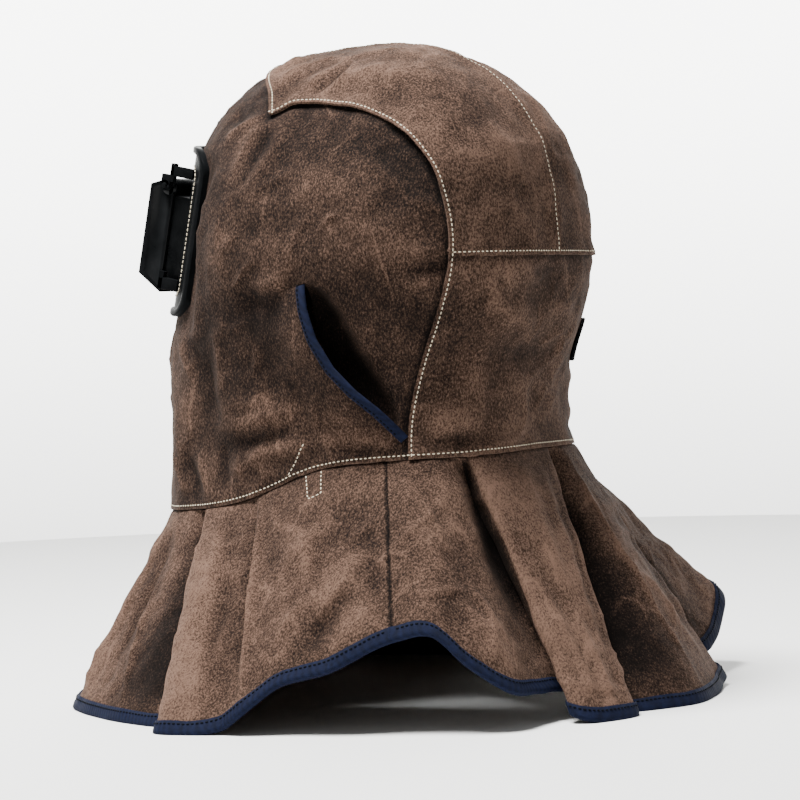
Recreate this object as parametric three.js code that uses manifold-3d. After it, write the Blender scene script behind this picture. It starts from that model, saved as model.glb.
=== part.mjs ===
// Leather welding hood with a flip-up lens holder, standing on the hem of its cape.
// Millimetres. The front faces -Y, the wearer's left side is +X, the floor is z = 0.
import * as THREE from "three";
import { mergeVertices } from "three/addons/utils/BufferGeometryUtils.js";
import Module from "manifold-3d";

// Leather and thread gaps
const LEATHER = 1.8;
const GAP = 0.35;
const SEAM_GAP = 0.4;
const TAPE = 0.9;

// Head: plan centre, level of the back seam, crown height and roundness
const HEAD_Y = -12;
const BACK_SEAM_Z = 290;
const CROWN_Z = 430;
const CROWN_ARC = 200;
const PLAN_FRONT = 2.15;
const PLAN_BACK = 3.0;
const ROUND_FRONT = 2.35;
const ROUND_BACK = 2.45;
const ROUND_SIDE = 1.9;

// Plan of the head at each height: reach to the front and back of its centre, half width
const HEAD_ROWS = [
  { z: 100, front: 151, back: 123, half: 110 },
  { z: 145, front: 150, back: 125, half: 108 },
  { z: 180, front: 150, back: 117, half: 107 },
  { z: 215, front: 147, back: 120, half: 108 },
  { z: 250, front: 139, back: 131, half: 113 },
  { z: 290, front: 128, back: 138, half: 117 },
];

// Bottom edge of the head panels, by angle from the front
const NECK_ROWS = [
  { angle: 0, z: 125 },
  { angle: 26, z: 126 },
  { angle: 48, z: 129 },
  { angle: 60, z: 132 },
  { angle: 72, z: 137 },
  { angle: 84, z: 145 },
  { angle: 92, z: 151 },
  { angle: 100, z: 155.5 },
  { angle: 115, z: 159.5 },
  { angle: 129, z: 161 },
  { angle: 150, z: 162 },
  { angle: 180, z: 163 },
];

// Seam that parts the face panel from the crown and back panels, on the left side
const SIDE_SEAM = [
  { angle: 129, z: 145 },
  { angle: 129, z: 163 },
  { angle: 130, z: 190 },
  { angle: 134, z: 222 },
  { angle: 139, z: 255 },
  { angle: 142, z: 290 },
  { angle: 141, z: 320 },
  { angle: 138, z: 347 },
  { angle: 130, z: 370 },
  { angle: 116, z: 383 },
  { angle: 96, z: 388 },
  { angle: 74, z: 388 },
];

// Forehead seam from the left corner to the middle
const BROW_SEAM = [
  { angle: 74, z: 388 },
  { angle: 63, z: 400 },
  { angle: 40, z: 413 },
  { angle: 20, z: 418 },
  { angle: 0, z: 419.5 },
];

// Soft dents and ridges of the head, mirrored: place, spread and height
const DENTS = [
  { angle: 24, level: 172, wide: 7, tall: 38, out: -3 },
  { angle: 36, level: 160, wide: 6, tall: 42, out: 2.5 },
  { angle: 52, level: 175, wide: 8, tall: 40, out: -2.5 },
  { angle: 70, level: 205, wide: 14, tall: 16, out: 2.5 },
  { angle: 58, level: 365, wide: 16, tall: 12, out: -2 },
  { angle: 84, level: 425, wide: 26, tall: 9, out: 2 },
  { angle: 112, level: 178, wide: 12, tall: 9, out: -2.5 },
];

// Ear vent: the bound edge of its lower lip, from the tip to the side seam
const VENT_EDGE = [
  { angle: 98.5, z: 273 },
  { angle: 100, z: 257 },
  { angle: 103, z: 238 },
  { angle: 108, z: 220 },
  { angle: 114.5, z: 205 },
  { angle: 121, z: 193 },
  { angle: 127, z: 180 },
];
const VENT_CHART = 112;
const VENT_LIFT = 12;
const VENT_SINK = 7;
const VENT_UNDER = 10;
const VENT_TAPE = 5.2;
const VENT_SPREAD_TIP = 64;
const VENT_SPREAD_SEAM = 27;

// Cape: fold lines from the neck to the hem.  The neck step is radial; the hem is given by angle,
// reach from the plan centre of the whole hood and lift off the floor.  A row with a lap is a pleat,
// whose edge is at the hem angle and whose under layer ends a lap further on; it faces front or back.
const FRONT_FOLDS = [
  { neck: 0, step: 0, hem: 0, reach: 213, lift: 0 },
  { neck: 15, step: 0, hem: 21, reach: 214, lift: 0 },
  { neck: 29, step: 0.3, hem: 38, reach: 219, lift: 0 },
  { neck: 38, step: -0.5, hem: 52, reach: 211, lift: 0 },
  { neck: 44.5, step: -1.4, hem: 67, reach: 203, lift: 0 },
  { neck: 50, lap: 4.5, faces: 1, hem: 75, under: 199, reach: 218, lift: 0, liftUnder: 0 },
  { neck: 61, step: 0, hem: 82, reach: 214, lift: 0 },
  { neck: 73, step: -1.0, hem: 88, reach: 205, lift: 4 },
  { neck: 75.8, step: 0.3, hem: 91, reach: 205, lift: 11 },
  { neck: 88, step: 0, hem: 98, reach: 199, lift: 30 },
  { neck: 104, step: 0, hem: 108, reach: 196, lift: 39 },
  { neck: 123, step: -0.8, hem: 119, reach: 194, lift: 56 },
];
const BACK_FOLDS = [
  { neck: 127.5, step: 0, hem: 125.5, reach: 200, lift: 60 },
  { neck: 132.5, step: 0, hem: 131.5, reach: 208, lift: 42 },
  { neck: 138.5, step: -0.4, hem: 139.5, reach: 207, lift: 23 },
  { neck: 142.8, step: -1.2, hem: 146.5, reach: 191, lift: 20 },
  { neck: 146.5, lap: 3.5, faces: 1, hem: 151.5, under: 182, reach: 208, lift: 2, liftUnder: 17 },
  { neck: 158, step: 0, hem: 156.5, reach: 210, lift: 0 },
  { neck: 172, step: 0, hem: 161, reach: 210, lift: 0 },
  { neck: 185, lap: 4, faces: -1, hem: 165, under: 192, reach: 208, lift: 0, liftUnder: 0 },
  { neck: 190, step: -1.0, hem: 171.5, reach: 201, lift: 0 },
  { neck: 194.5, step: 0, hem: 180, reach: 212.8, lift: 0 },
  { neck: 200, step: 0, hem: 192, reach: 212, lift: 0 },
  { neck: 205.5, step: 0, hem: 201, reach: 211, lift: 2 },
  { neck: 211, lap: 3.5, faces: -1, hem: 208, under: 190, reach: 212, lift: 6, liftUnder: 13 },
  { neck: 218, step: 0, hem: 217, reach: 209, lift: 20 },
  { neck: 225, step: 0, hem: 225, reach: 225, lift: 32 },
  { neck: 231, step: 0, hem: 232, reach: 239, lift: 50 },
];
const RIGHT_FLARE = 21;
const CAPE_TUCK = 7;
const CAPE_STEP = 24;
const CAPE_SHOULDER = 4;
const TUCK_IN = 5.4;
const NECK_DROP = 0.6;
const NECK_SHARE = -0.4;
const CAPE_MIDDLE = 0.5;
const BINDING_TALL = 10;
const BINDING_TURN = 2.4;
const HEM_SINK = 0.8;

// Lens holder: middle of its plate, lean, and plan of the curved plate
const LENS_MID = [0, -130.5, 314.5];
const LENS_LEAN = 12.5;
const PLATE_PLAN = [
  { x: 0, deep: 0 },
  { x: 30, deep: 0.6 },
  { x: 50, deep: 3 },
  { x: 58, deep: 6.5 },
  { x: 65, deep: 12 },
  { x: 72, deep: 19.5 },
  { x: 78, deep: 27 },
  { x: 82, deep: 33 },
];
const PLATE_WIDE = 82;
const PLATE_HALF = 57;
const PLATE_CORNER = 16;
const PLATE_THICK = 2.6;
const PLATE_RIM = 4.6;
const PLATE_RIM_WIDE = 5;
const SEAT_GAP = 0.7;
const SEAT_FADE = 15;
const RIM_SLOPE = 1.7;
const PLATE_REACH = 60;

// Lens window and lens plates
const WINDOW_MID = -4;
const WINDOW_WIDE = 98;
const WINDOW_TALL = 42;
const LENS_WIDE = 108;
const LENS_TALL = 51;

// Flip front: side outline of its box as distance out of the plate and height on it
const BOX_HALF = 62;
const BOX_BACK = 4.6;
const BOX_FRONT = 24;
const BOX_TOP_FRONT = 27;
const BOX_LOW_FRONT = -34;
const BOX_LOW_BACK = -44;
const PIVOT_OUT = 9.4;
const PIVOT_UP = 28;
const PIVOT_ROUND = 4.8;
const PIN_ROUND = 1.8;
const PIN_IN = 5;
const PIN_OUT = 6;
const PIN_PLAY = 0.3;
const BOX_ROOM = { half: 56, low: -37, high: 20, wall: 6.2 };
const SHADE_BACK = 5.6;
const SHADE_FRONT = 2.6;

// Frame behind the flip front, and the hole in the leather for it
const BASE = { half: 60, low: -38, high: 22, back: -8, front: 4 };
const COVER_BACK = -2.7;
const COVER_FRONT = 0.1;
const FACE_HOLE = { half: 66, low: -42, high: 26, corner: 12 };

// Arms of the plate beside the flip front: spans out of the plate and up it
const ARM_FROM = 0.5;
const ARM_TO = 4.5;
const EAR_ROUND = 3.6;
const BRACKET_BARS = [
  { out: [-12, 6.5], up: [35, 42] },
  { out: [3, 6.5], up: [31, 43.5] },
  { out: [5.8, 13], up: [28, 35.5] },
];
const LATCH_BARS = [
  { out: [-12, 4], up: [-41, -33] },
  { out: [0, 4], up: [-41, -29] },
];

// Black adjusting tab behind the right side of the neck
const TAB = { from: 211.5, to: 250, low: 217, high: 246, thick: 2.6 };

const wasm = await Module();
wasm.setup();
const { Manifold } = wasm;

const rad = THREE.MathUtils.degToRad;
const fade = (share) => Math.cos((Math.min(1, share) * Math.PI) / 2) ** 2;
const v3 = (x, y, z) => new THREE.Vector3(x, y, z);

// A smooth curve through the rows of a table that doesn't overshoot between them.
function curve(rows, xKey, yKey) {
  const x = rows.map((row) => row[xKey]);
  const y = rows.map((row) => row[yKey]);
  const slope = x.map((_, i) => {
    if (i === 0 || i === x.length - 1) return 0;
    const a = (y[i] - y[i - 1]) / (x[i] - x[i - 1]);
    const b = (y[i + 1] - y[i]) / (x[i + 1] - x[i]);
    return a * b <= 0 ? 0 : (2 * a * b) / (a + b);
  });
  return (at) => {
    const t = Math.min(Math.max(at, x[0]), x[x.length - 1]);
    let i = 0;
    while (i < x.length - 2 && t > x[i + 1]) i += 1;
    const h = x[i + 1] - x[i];
    const s = (t - x[i]) / h;
    const rise = y[i] * (1 - s) ** 2 * (1 + 2 * s) + y[i + 1] * s * s * (3 - 2 * s);
    return rise + h * (slope[i] * s * (1 - s) ** 2 - slope[i + 1] * s * s * (1 - s));
  };
}

const frontAt = curve(HEAD_ROWS, "z", "front");
const backAt = curve(HEAD_ROWS, "z", "back");
const halfAt = curve(HEAD_ROWS, "z", "half");
const neckCurve = curve(NECK_ROWS, "angle", "z");
const fold180 = (angle) => Math.abs(((((angle + 180) % 360) + 360) % 360) - 180);
const neckAt = (angle) => neckCurve(fold180(angle));

function planRadius(angle, z) {
  const c = Math.cos(rad(angle));
  const s = Math.abs(Math.sin(rad(angle)));
  const n = c > 0 ? PLAN_FRONT : PLAN_BACK;
  const reach = c > 0 ? frontAt(z) : backAt(z);
  return ((s / halfAt(z)) ** n + (Math.abs(c) / reach) ** n) ** (-1 / n);
}

function roundness(angle) {
  const c = Math.cos(rad(angle));
  return ROUND_SIDE * (1 - c * c) + (c > 0 ? ROUND_FRONT : ROUND_BACK) * c * c;
}

// A level is a height up to the back seam and a distance over the crown above it.
function levelOf(angle, z) {
  if (z <= BACK_SEAM_Z) return z;
  const m = roundness(angle);
  const h = (z - BACK_SEAM_Z) / (CROWN_Z - BACK_SEAM_Z);
  const r = planRadius(angle, BACK_SEAM_Z) * (1 - h ** m) ** (1 / m);
  const lean = Math.atan2(r, z - BACK_SEAM_Z) / (Math.PI / 2);
  return BACK_SEAM_Z + CROWN_ARC * (1 - lean);
}

function dentAt(angle, level) {
  return DENTS.reduce((sum, d) => {
    const a = (fold180(angle) - d.angle) / d.wide;
    const b = (level - d.level) / d.tall;
    return sum + d.out * Math.exp(-a * a - b * b);
  }, 0);
}

// Lens holder: x across, y into the head and z up its leaning plate
const lensHolder = new THREE.Group();
lensHolder.position.set(...LENS_MID);
lensHolder.rotation.x = -rad(LENS_LEAN);
lensHolder.updateMatrix();
const toLens = lensHolder.matrix.clone().invert();
const plateCurve = curve(PLATE_PLAN, "x", "deep");
const plateDeep = (x) => plateCurve(Math.abs(x)) + Math.max(0, Math.abs(x) - PLATE_WIDE) * RIM_SLOPE;

// The leather is pressed in behind the plate and comes back out round its rim.
function seated(point) {
  const p = point.applyMatrix4(toLens);
  const beyond = Math.hypot(
    Math.max(0, Math.abs(p.x) - PLATE_WIDE),
    Math.max(0, Math.abs(p.z) - PLATE_HALF),
  );
  const short = plateDeep(p.x) + PLATE_THICK + SEAT_GAP - p.y;
  if (short > 0 && p.y < PLATE_REACH) p.y += short * fade(beyond / SEAT_FADE);
  return p.applyMatrix4(lensHolder.matrix);
}

// A point of the head's outer face; out moves it off the smooth head.
function headPoint(angle, level, out = 0) {
  const s = Math.sin(rad(angle));
  const c = Math.cos(rad(angle));
  if (level <= BACK_SEAM_Z) {
    const r = planRadius(angle, level) + dentAt(angle, level) + out;
    return seated(v3(r * s, HEAD_Y - r * c, level));
  }
  const lean = (Math.PI / 2) * (1 - (level - BACK_SEAM_Z) / CROWN_ARC);
  const m = roundness(angle);
  const wide = (Math.sin(lean) / planRadius(angle, BACK_SEAM_Z)) ** m;
  const high = (Math.cos(lean) / (CROWN_Z - BACK_SEAM_Z)) ** m;
  const far = (wide + high) ** (-1 / m) + dentAt(angle, level) * Math.sin(lean) + out;
  const flat = far * Math.sin(lean);
  return seated(v3(flat * s, HEAD_Y - flat * c, BACK_SEAM_Z + far * Math.cos(lean)));
}

function headNormal(angle, level, at = headPoint) {
  const low = Math.min(level, BACK_SEAM_Z + CROWN_ARC - 3);
  const east = at(angle + 1, low).sub(at(angle - 1, low));
  const up = at(angle, low + 1.5).sub(at(angle, low - 1.5));
  return east.cross(up).normalize();
}

// Turns corner points and triangles into a solid with its faces out.
function solid(points, faces) {
  const made = new Manifold(
    new wasm.Mesh({
      numProp: 3,
      vertProperties: new Float32Array(points.flatMap((p) => [p.x, p.y, p.z])),
      triVerts: new Uint32Array(faces.flat()),
    }),
  );
  return made.volume() < 0 ? solid(points, faces.map(([a, b, c]) => [a, c, b])) : made;
}

// Corner points and triangles of a solid
function unpacked(shape) {
  const { vertProperties, numProp, triVerts } = shape.getMesh();
  const points = Array.from({ length: vertProperties.length / numProp }, (_, i) =>
    v3(...vertProperties.subarray(i * numProp, i * numProp + 3)),
  );
  const corners = (i) => [...triVerts.subarray(i * 3, i * 3 + 3)];
  const faces = Array.from({ length: triVerts.length / 3 }, (_, i) => corners(i));
  return { points, faces };
}

// A solid moved or mirrored by a matrix
function moved(shape, matrix) {
  const { points, faces } = unpacked(shape);
  return solid(points.map((p) => p.applyMatrix4(matrix)), faces);
}
const mirrored = (shape) => moved(shape, new THREE.Matrix4().makeScale(-1, 1, 1));

// A closed three.js shape as a solid
function fromGeometry(geometry) {
  geometry.deleteAttribute("normal");
  geometry.deleteAttribute("uv");
  const merged = mergeVertices(geometry, 1e-4);
  const spots = merged.getAttribute("position");
  const points = Array.from({ length: spots.count }, (_, i) => v3().fromBufferAttribute(spots, i));
  const index = [...merged.index.array];
  return solid(points, Array.from({ length: index.length / 3 }, (_, i) => index.slice(i * 3, i * 3 + 3)));
}
const joined = (shapes) => shapes.reduce((a, b) => a.add(b));
function block([x0, x1], [y0, y1], [z0, z1]) {
  const shape = new THREE.BoxGeometry(x1 - x0, y1 - y0, z1 - z0);
  return fromGeometry(shape.translate((x0 + x1) / 2, (y0 + y1) / 2, (z0 + z1) / 2));
}

// A wall between two grids of points, rows[j][i]; a ring closes its columns round.
function wall(outer, inner, ring = false) {
  const rows = outer.length;
  const cols = outer[0].length;
  const points = [...outer.flat(), ...inner.flat()];
  const at = (side, j, i) => side * rows * cols + j * cols + (i % cols);
  const faces = [];
  const quad = (a, b, c, d) => faces.push([a, b, c], [a, c, d]);
  const wide = ring ? cols : cols - 1;
  for (let j = 0; j < rows - 1; j += 1)
    for (let i = 0; i < wide; i += 1) {
      quad(at(0, j, i), at(0, j, i + 1), at(0, j + 1, i + 1), at(0, j + 1, i));
      quad(at(1, j, i), at(1, j + 1, i), at(1, j + 1, i + 1), at(1, j, i + 1));
    }
  for (let i = 0; i < wide; i += 1) {
    quad(at(0, 0, i + 1), at(0, 0, i), at(1, 0, i), at(1, 0, i + 1));
    quad(at(0, rows - 1, i), at(0, rows - 1, i + 1), at(1, rows - 1, i + 1), at(1, rows - 1, i));
  }
  if (!ring)
    for (let j = 0; j < rows - 1; j += 1) {
      quad(at(0, j, 0), at(0, j + 1, 0), at(1, j + 1, 0), at(1, j, 0));
      quad(at(0, j + 1, cols - 1), at(0, j, cols - 1), at(1, j, cols - 1), at(1, j + 1, cols - 1));
    }
  return solid(points, faces);
}

// A filled shape over a grid whose last row closes at one crown point.
function filled(grid, crown) {
  const cols = grid[0].length;
  const points = [...grid.flat(), crown, v3(0, HEAD_Y, grid[0][0].z)];
  const faces = [];
  for (let j = 0; j < grid.length - 1; j += 1)
    for (let i = 0; i < cols; i += 1) {
      const a = j * cols + i;
      const b = j * cols + ((i + 1) % cols);
      faces.push([a, b, b + cols], [a, b + cols, a + cols]);
    }
  const last = (grid.length - 1) * cols;
  for (let i = 0; i < cols; i += 1) {
    const next = (i + 1) % cols;
    faces.push([last + i, last + next, points.length - 2]);
    faces.push([next, i, points.length - 1]);
  }
  return solid(points, faces);
}

// Columns are closer at the ear vents, rows are closer over the lower head.
const HALF_ANGLES = [0, 13, 26, 38, 50, 62, 73, 83, 92, 99, 106, 113, 120, 127, 135, 146, 158, 169];
const BACK_ANGLES = HALF_ANGLES.slice(1).reverse().map((angle) => 360 - angle);
const ALL_ANGLES = [...HALF_ANGLES, 180, ...BACK_ANGLES];
const HEAD_LEVELS = [118, 138, 158, 175, 192, 209, 226, 246, 268, 290, 316, 344, 374, 406, 440, 468];

// Filled head shape, moved in or out, down to a level a little under the neck.
function headFilled(out, at = headPoint) {
  const levels = [...HEAD_LEVELS];
  levels[0] += out < 0 ? -6 : 0;
  const grid = levels.map((level) =>
    ALL_ANGLES.map((angle) => {
      const p = at(angle, level).addScaledVector(headNormal(angle, level, at), out);
      return level === levels[0] ? p.setZ(level) : p;
    }),
  );
  return filled(grid, v3(0, HEAD_Y, CROWN_Z + out));
}

// Ear vent chart: distance round the head against height
const ventChart = VENT_EDGE.map((row) => [rad(row.angle) * VENT_CHART, row.z]);

// Nearest place on the vent edge: share along it and signed distance, positive on the lip.
function ventPlace(angle, z) {
  const px = rad(fold180(angle)) * VENT_CHART;
  let best = { far: Infinity, along: 0, side: 0 };
  ventChart.slice(0, -1).forEach(([ax, az], i) => {
    const [bx, bz] = ventChart[i + 1];
    const dx = bx - ax;
    const dz = bz - az;
    const t = Math.min(1, Math.max(0, ((px - ax) * dx + (z - az) * dz) / (dx * dx + dz * dz)));
    const ox = px - ax - t * dx;
    const oz = z - az - t * dz;
    const far = Math.hypot(ox, oz);
    if (far < best.far)
      best = { far, along: (i + t) / (ventChart.length - 1), side: Math.sign(dz * ox - dx * oz) };
  });
  return best;
}
const swell = (along) => Math.sin(Math.PI * along) ** 0.8;
const spread = (along) => VENT_SPREAD_TIP + (VENT_SPREAD_SEAM - VENT_SPREAD_TIP) * along;

// The head with the leather above each vent sunk in, and with the lips below them lifted out
function sunkPoint(angle, level) {
  const { far, along } = ventPlace(angle, level);
  return headPoint(angle, level, -VENT_SINK * swell(along) * fade(far / VENT_SPREAD_SEAM));
}
function lipPoint(angle, level) {
  const { far, along, side } = ventPlace(angle, level);
  return headPoint(angle, level, VENT_LIFT * swell(along) * (side < 0 ? 1 : fade(far / spread(along))));
}

// The vent edge moved over its lip by a distance for each share along it
function ventOffset(distance, steps = 10) {
  return Array.from({ length: steps + 1 }, (_, k) => {
    const t = (k / steps) * (ventChart.length - 1);
    const i = Math.min(ventChart.length - 2, Math.floor(t));
    const f = t - i;
    const before = ventChart[Math.max(0, i - 1)];
    const after = ventChart[Math.min(ventChart.length - 1, i + 2)];
    const x = ventChart[i][0] + (ventChart[i + 1][0] - ventChart[i][0]) * f;
    const z = ventChart[i][1] + (ventChart[i + 1][1] - ventChart[i][1]) * f;
    const side = new THREE.Vector2(after[1] - before[1], before[0] - after[0]).normalize();
    const d = distance(k / steps);
    return new THREE.Vector2(x + side.x * d, z + side.y * d);
  });
}

// A wedge of space over an outline on the vent chart, from inside the head to outside it
function wedge(drawn, near = 70, far = 190) {
  const outline = THREE.ShapeUtils.isClockWise(drawn) ? [...drawn].reverse() : drawn;
  const faces = THREE.ShapeUtils.triangulateShape(outline, []);
  const ends = [near, far].map((r) =>
    outline.map((p) => {
      const a = p.x / VENT_CHART;
      return v3(r * Math.sin(a), HEAD_Y - r * Math.cos(a), p.y);
    }),
  );
  const n = outline.length;
  const all = faces.flatMap(([a, b, c]) => [[a, c, b], [a + n, b + n, c + n]]);
  for (let i = 0; i < n; i += 1) {
    const j = (i + 1) % n;
    all.push([i, j, j + n], [i, j + n, i + n]);
  }
  return solid(ends.flat(), all);
}

// A thin blade along a seam, to part two panels.
function blade(rows, deep = 5) {
  const path = new THREE.CatmullRomCurve3(rows.map((r) => v3(r.angle, levelOf(r.angle, r.z), 0)));
  const place = path.getSpacedPoints(Math.round(rows.length * 1.4));
  const on = place.map((p) => headPoint(p.x, p.y));
  const n = place.map((p) => headNormal(p.x, p.y));
  const ring = on.map((p, i) => {
    const along = on[Math.min(i + 1, on.length - 1)].clone().sub(on[Math.max(i - 1, 0)]).normalize();
    const side = along.clone().cross(n[i]).normalize().multiplyScalar(SEAM_GAP / 2);
    const end = i === 0 ? -0.6 : i === on.length - 1 ? 0.6 : 0;
    const mid = p.clone().addScaledVector(along, end);
    const corner = (k, s) => mid.clone().addScaledVector(n[i], k).addScaledVector(side, s);
    return [corner(deep, -1), corner(deep, 1), corner(-deep, 1), corner(-deep, -1)];
  });
  const faces = [[0, 1, 2], [0, 2, 3]];
  for (let i = 0; i < ring.length - 1; i += 1)
    [[0, 1], [1, 2], [0, 3], [3, 2]].forEach(([p, q], k) => {
      const a = i * 4 + p;
      const b = i * 4 + q;
      if (k < 2) faces.push([a, a + 4, b + 4], [a, b + 4, b]);
      else faces.push([a, b + 4, a + 4], [a, b, b + 4]);
    });
  const e = (ring.length - 1) * 4;
  faces.push([e, e + 2, e + 1], [e, e + 3, e + 2]);
  return solid(ring.flat(), faces);
}

// Everything below the bottom edge of the head panels
function belowNeck() {
  const edge = (r, dz) =>
    ALL_ANGLES.map((a) => v3(r * Math.sin(rad(a)), HEAD_Y - r * Math.cos(rad(a)), neckAt(a) + dz));
  const drop = (row) => row.map((p) => v3(p.x, p.y, 60));
  return wall([edge(190, 0), edge(60, 0)], [drop(edge(190, 0)), drop(edge(60, 0))], true);
}

// Head panels
const headShell = headFilled(0, sunkPoint).subtract(headFilled(-LEATHER, sunkPoint));
const seams = joined([
  blade(SIDE_SEAM),
  mirrored(blade(SIDE_SEAM)),
  blade([...BROW_SEAM, ...BROW_SEAM.slice(0, -1).reverse().map((r) => ({ ...r, angle: -r.angle }))]),
  block([-SEAM_GAP / 2, SEAM_GAP / 2], [-73, 190], [BACK_SEAM_Z, CROWN_Z + 20]),
  block([-90.3, 90.3], [70, 190], [BACK_SEAM_Z - SEAM_GAP / 2, BACK_SEAM_Z + SEAM_GAP / 2]),
]);
const panels = headShell
  .subtract(seams)
  .subtract(belowNeck())
  .decompose()
  .sort((a, b) => b.volume() - a.volume())
  .slice(0, 4);
const middle = (shape) => {
  const { min, max } = shape.boundingBox();
  return { x: (min[0] + max[0]) / 2, y: (min[1] + max[1]) / 2, z: (min[2] + max[2]) / 2 };
};
const flatFace = panels.reduce((a, b) => (middle(a).y < middle(b).y ? a : b));
const upper = panels.filter((p) => p !== flatFace).sort((a, b) => middle(a).x - middle(b).x);
const [crownRight, backPanel, crownLeft] = upper;

// Ear vents: each lip is lifted out of the face panel, which runs on under it.
const bothSides = (outline) => wedge(outline).add(mirrored(wedge(outline)));
const lipShell = headFilled(0, lipPoint).subtract(headFilled(-LEATHER, lipPoint));
const lipFar = (more) => ventOffset((s) => spread(s) + more).reverse();
const lipOutline = [...ventOffset(() => VENT_TAPE + GAP), ...lipFar(2)];
const lostOutline = [...ventOffset((s) => VENT_UNDER * Math.sin(Math.PI * s) ** 1.2 - 0.9), ...lipFar(1)];
const lips = lipShell.intersect(bothSides(lipOutline)).subtract(seams).subtract(belowNeck());

// Tape over the edge of a lip, and the room that the leather leaves for it
const tapeBody = (grow) =>
  headFilled(TAPE + grow, lipPoint).subtract(headFilled(-LEATHER - TAPE - grow, lipPoint));
const tapeOutline = (low, high) => [...ventOffset(() => low), ...ventOffset(() => high).reverse()];
const ventTape = tapeBody(0).intersect(wedge(tapeOutline(0.2, VENT_TAPE))).subtract(seams);
const tapeRoom = tapeBody(GAP).intersect(bothSides(tapeOutline(-GAP, VENT_TAPE + GAP)));

// Shapes in the lens holder's frame, by spans across it, out of the plate and up it
const THROUGH = [-40, 40];
const lensBox = (across, [out0, out1], up) => block(across, [-out1, -out0], up);
function lensRound([x0, x1], out, up, radius) {
  const rod = new THREE.CylinderGeometry(radius, radius, x1 - x0, 16);
  return fromGeometry(rod.rotateZ(Math.PI / 2).translate((x0 + x1) / 2, -out, up));
}
function roundedBlock(halfWide, low, high, corner, [out0, out1]) {
  const outline = new THREE.Shape();
  outline.absarc(halfWide - corner, high - corner, corner, 0, Math.PI / 2);
  outline.absarc(corner - halfWide, high - corner, corner, Math.PI / 2, Math.PI);
  outline.absarc(corner - halfWide, low + corner, corner, Math.PI, Math.PI * 1.5);
  outline.absarc(halfWide - corner, low + corner, corner, Math.PI * 1.5, Math.PI * 2);
  const body = new THREE.ExtrudeGeometry(outline, {
    depth: out1 - out0,
    bevelEnabled: false,
    curveSegments: 4,
  });
  return fromGeometry(body.rotateX(Math.PI / 2).translate(0, -out0, 0));
}
function plateShell(front, thick) {
  const half = PLATE_PLAN.slice(1).map((row) => row.x);
  half.push(PLATE_WIDE + 8);
  const across = [...half.map((x) => -x).reverse(), 0, ...half];
  const ups = [-64, 0, 64];
  const face = (d) =>
    ups.map((up) =>
      across.map((x) => {
        const n = new THREE.Vector2(plateDeep(x + 0.5) - plateDeep(x - 0.5), 1).normalize();
        return v3(x + n.x * d, plateDeep(x) - n.y * d, up);
      }),
    );
  return wall(face(front), face(front - thick));
}
const plateOutline = roundedBlock(PLATE_WIDE, -PLATE_HALF, PLATE_HALF, PLATE_CORNER, [-70, 30]);
const plateInside = roundedBlock(
  PLATE_WIDE - PLATE_RIM_WIDE * 0.6,
  -PLATE_HALF + PLATE_RIM_WIDE,
  PLATE_HALF - PLATE_RIM_WIDE,
  PLATE_CORNER - 4,
  [-71, 31],
);
const baseBlock = (grow, out) =>
  lensBox([-BASE.half - grow, BASE.half + grow], out, [BASE.low - grow, BASE.high + grow]);
const side = (x0, x1, shape) => [shape([x0, x1]), shape([-x1, -x0])];
const arms = (bars) =>
  side(BOX_HALF + ARM_FROM, BOX_HALF + ARM_TO, (x) => joined(bars.map((bar) => lensBox(x, bar.out, bar.up))));
const ears = side(BOX_HALF + ARM_FROM, BOX_HALF + ARM_TO, (x) =>
  lensRound(x, PIVOT_OUT, PIVOT_UP, EAR_ROUND),
);
const pinHoles = side(BOX_HALF - PIN_OUT, BOX_HALF + PIN_OUT, (x) =>
  lensRound(x, PIVOT_OUT, PIVOT_UP, PIN_ROUND + PIN_PLAY),
);
const plateBody = joined([
  plateShell(0, PLATE_THICK).intersect(plateOutline),
  plateShell(PLATE_RIM - PLATE_THICK, PLATE_RIM).intersect(plateOutline.subtract(plateInside)),
]);
const headRoom = moved(headFilled(0.5, sunkPoint), toLens);
const lensPlate = joined([plateBody, ...arms(BRACKET_BARS), ...ears, ...arms(LATCH_BARS)])
  .subtract(joined(pinHoles))
  .subtract(baseBlock(GAP, THROUGH))
  .subtract(headRoom);
const pins = side(BOX_HALF - PIN_IN, BOX_HALF + PIN_OUT, (x) => lensRound(x, PIVOT_OUT, PIVOT_UP, PIN_ROUND));

// Base frame round the clear cover lens
const windowHole = lensBox(
  [-WINDOW_WIDE / 2, WINDOW_WIDE / 2],
  THROUGH,
  [WINDOW_MID - WINDOW_TALL / 2, WINDOW_MID + WINDOW_TALL / 2],
);
const lensBlock = (out0, out1, grow) =>
  lensBox(
    [-LENS_WIDE / 2 - grow, LENS_WIDE / 2 + grow],
    [out0, out1],
    [WINDOW_MID - LENS_TALL / 2 - grow, WINDOW_MID + LENS_TALL / 2 + grow],
  );
const baseFrame = baseBlock(0, [BASE.back, BASE.front])
  .subtract(windowHole)
  .subtract(lensBlock(COVER_BACK - GAP, COVER_FRONT + GAP, GAP));
const coverLens = lensBlock(COVER_BACK, COVER_FRONT, 0);

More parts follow.
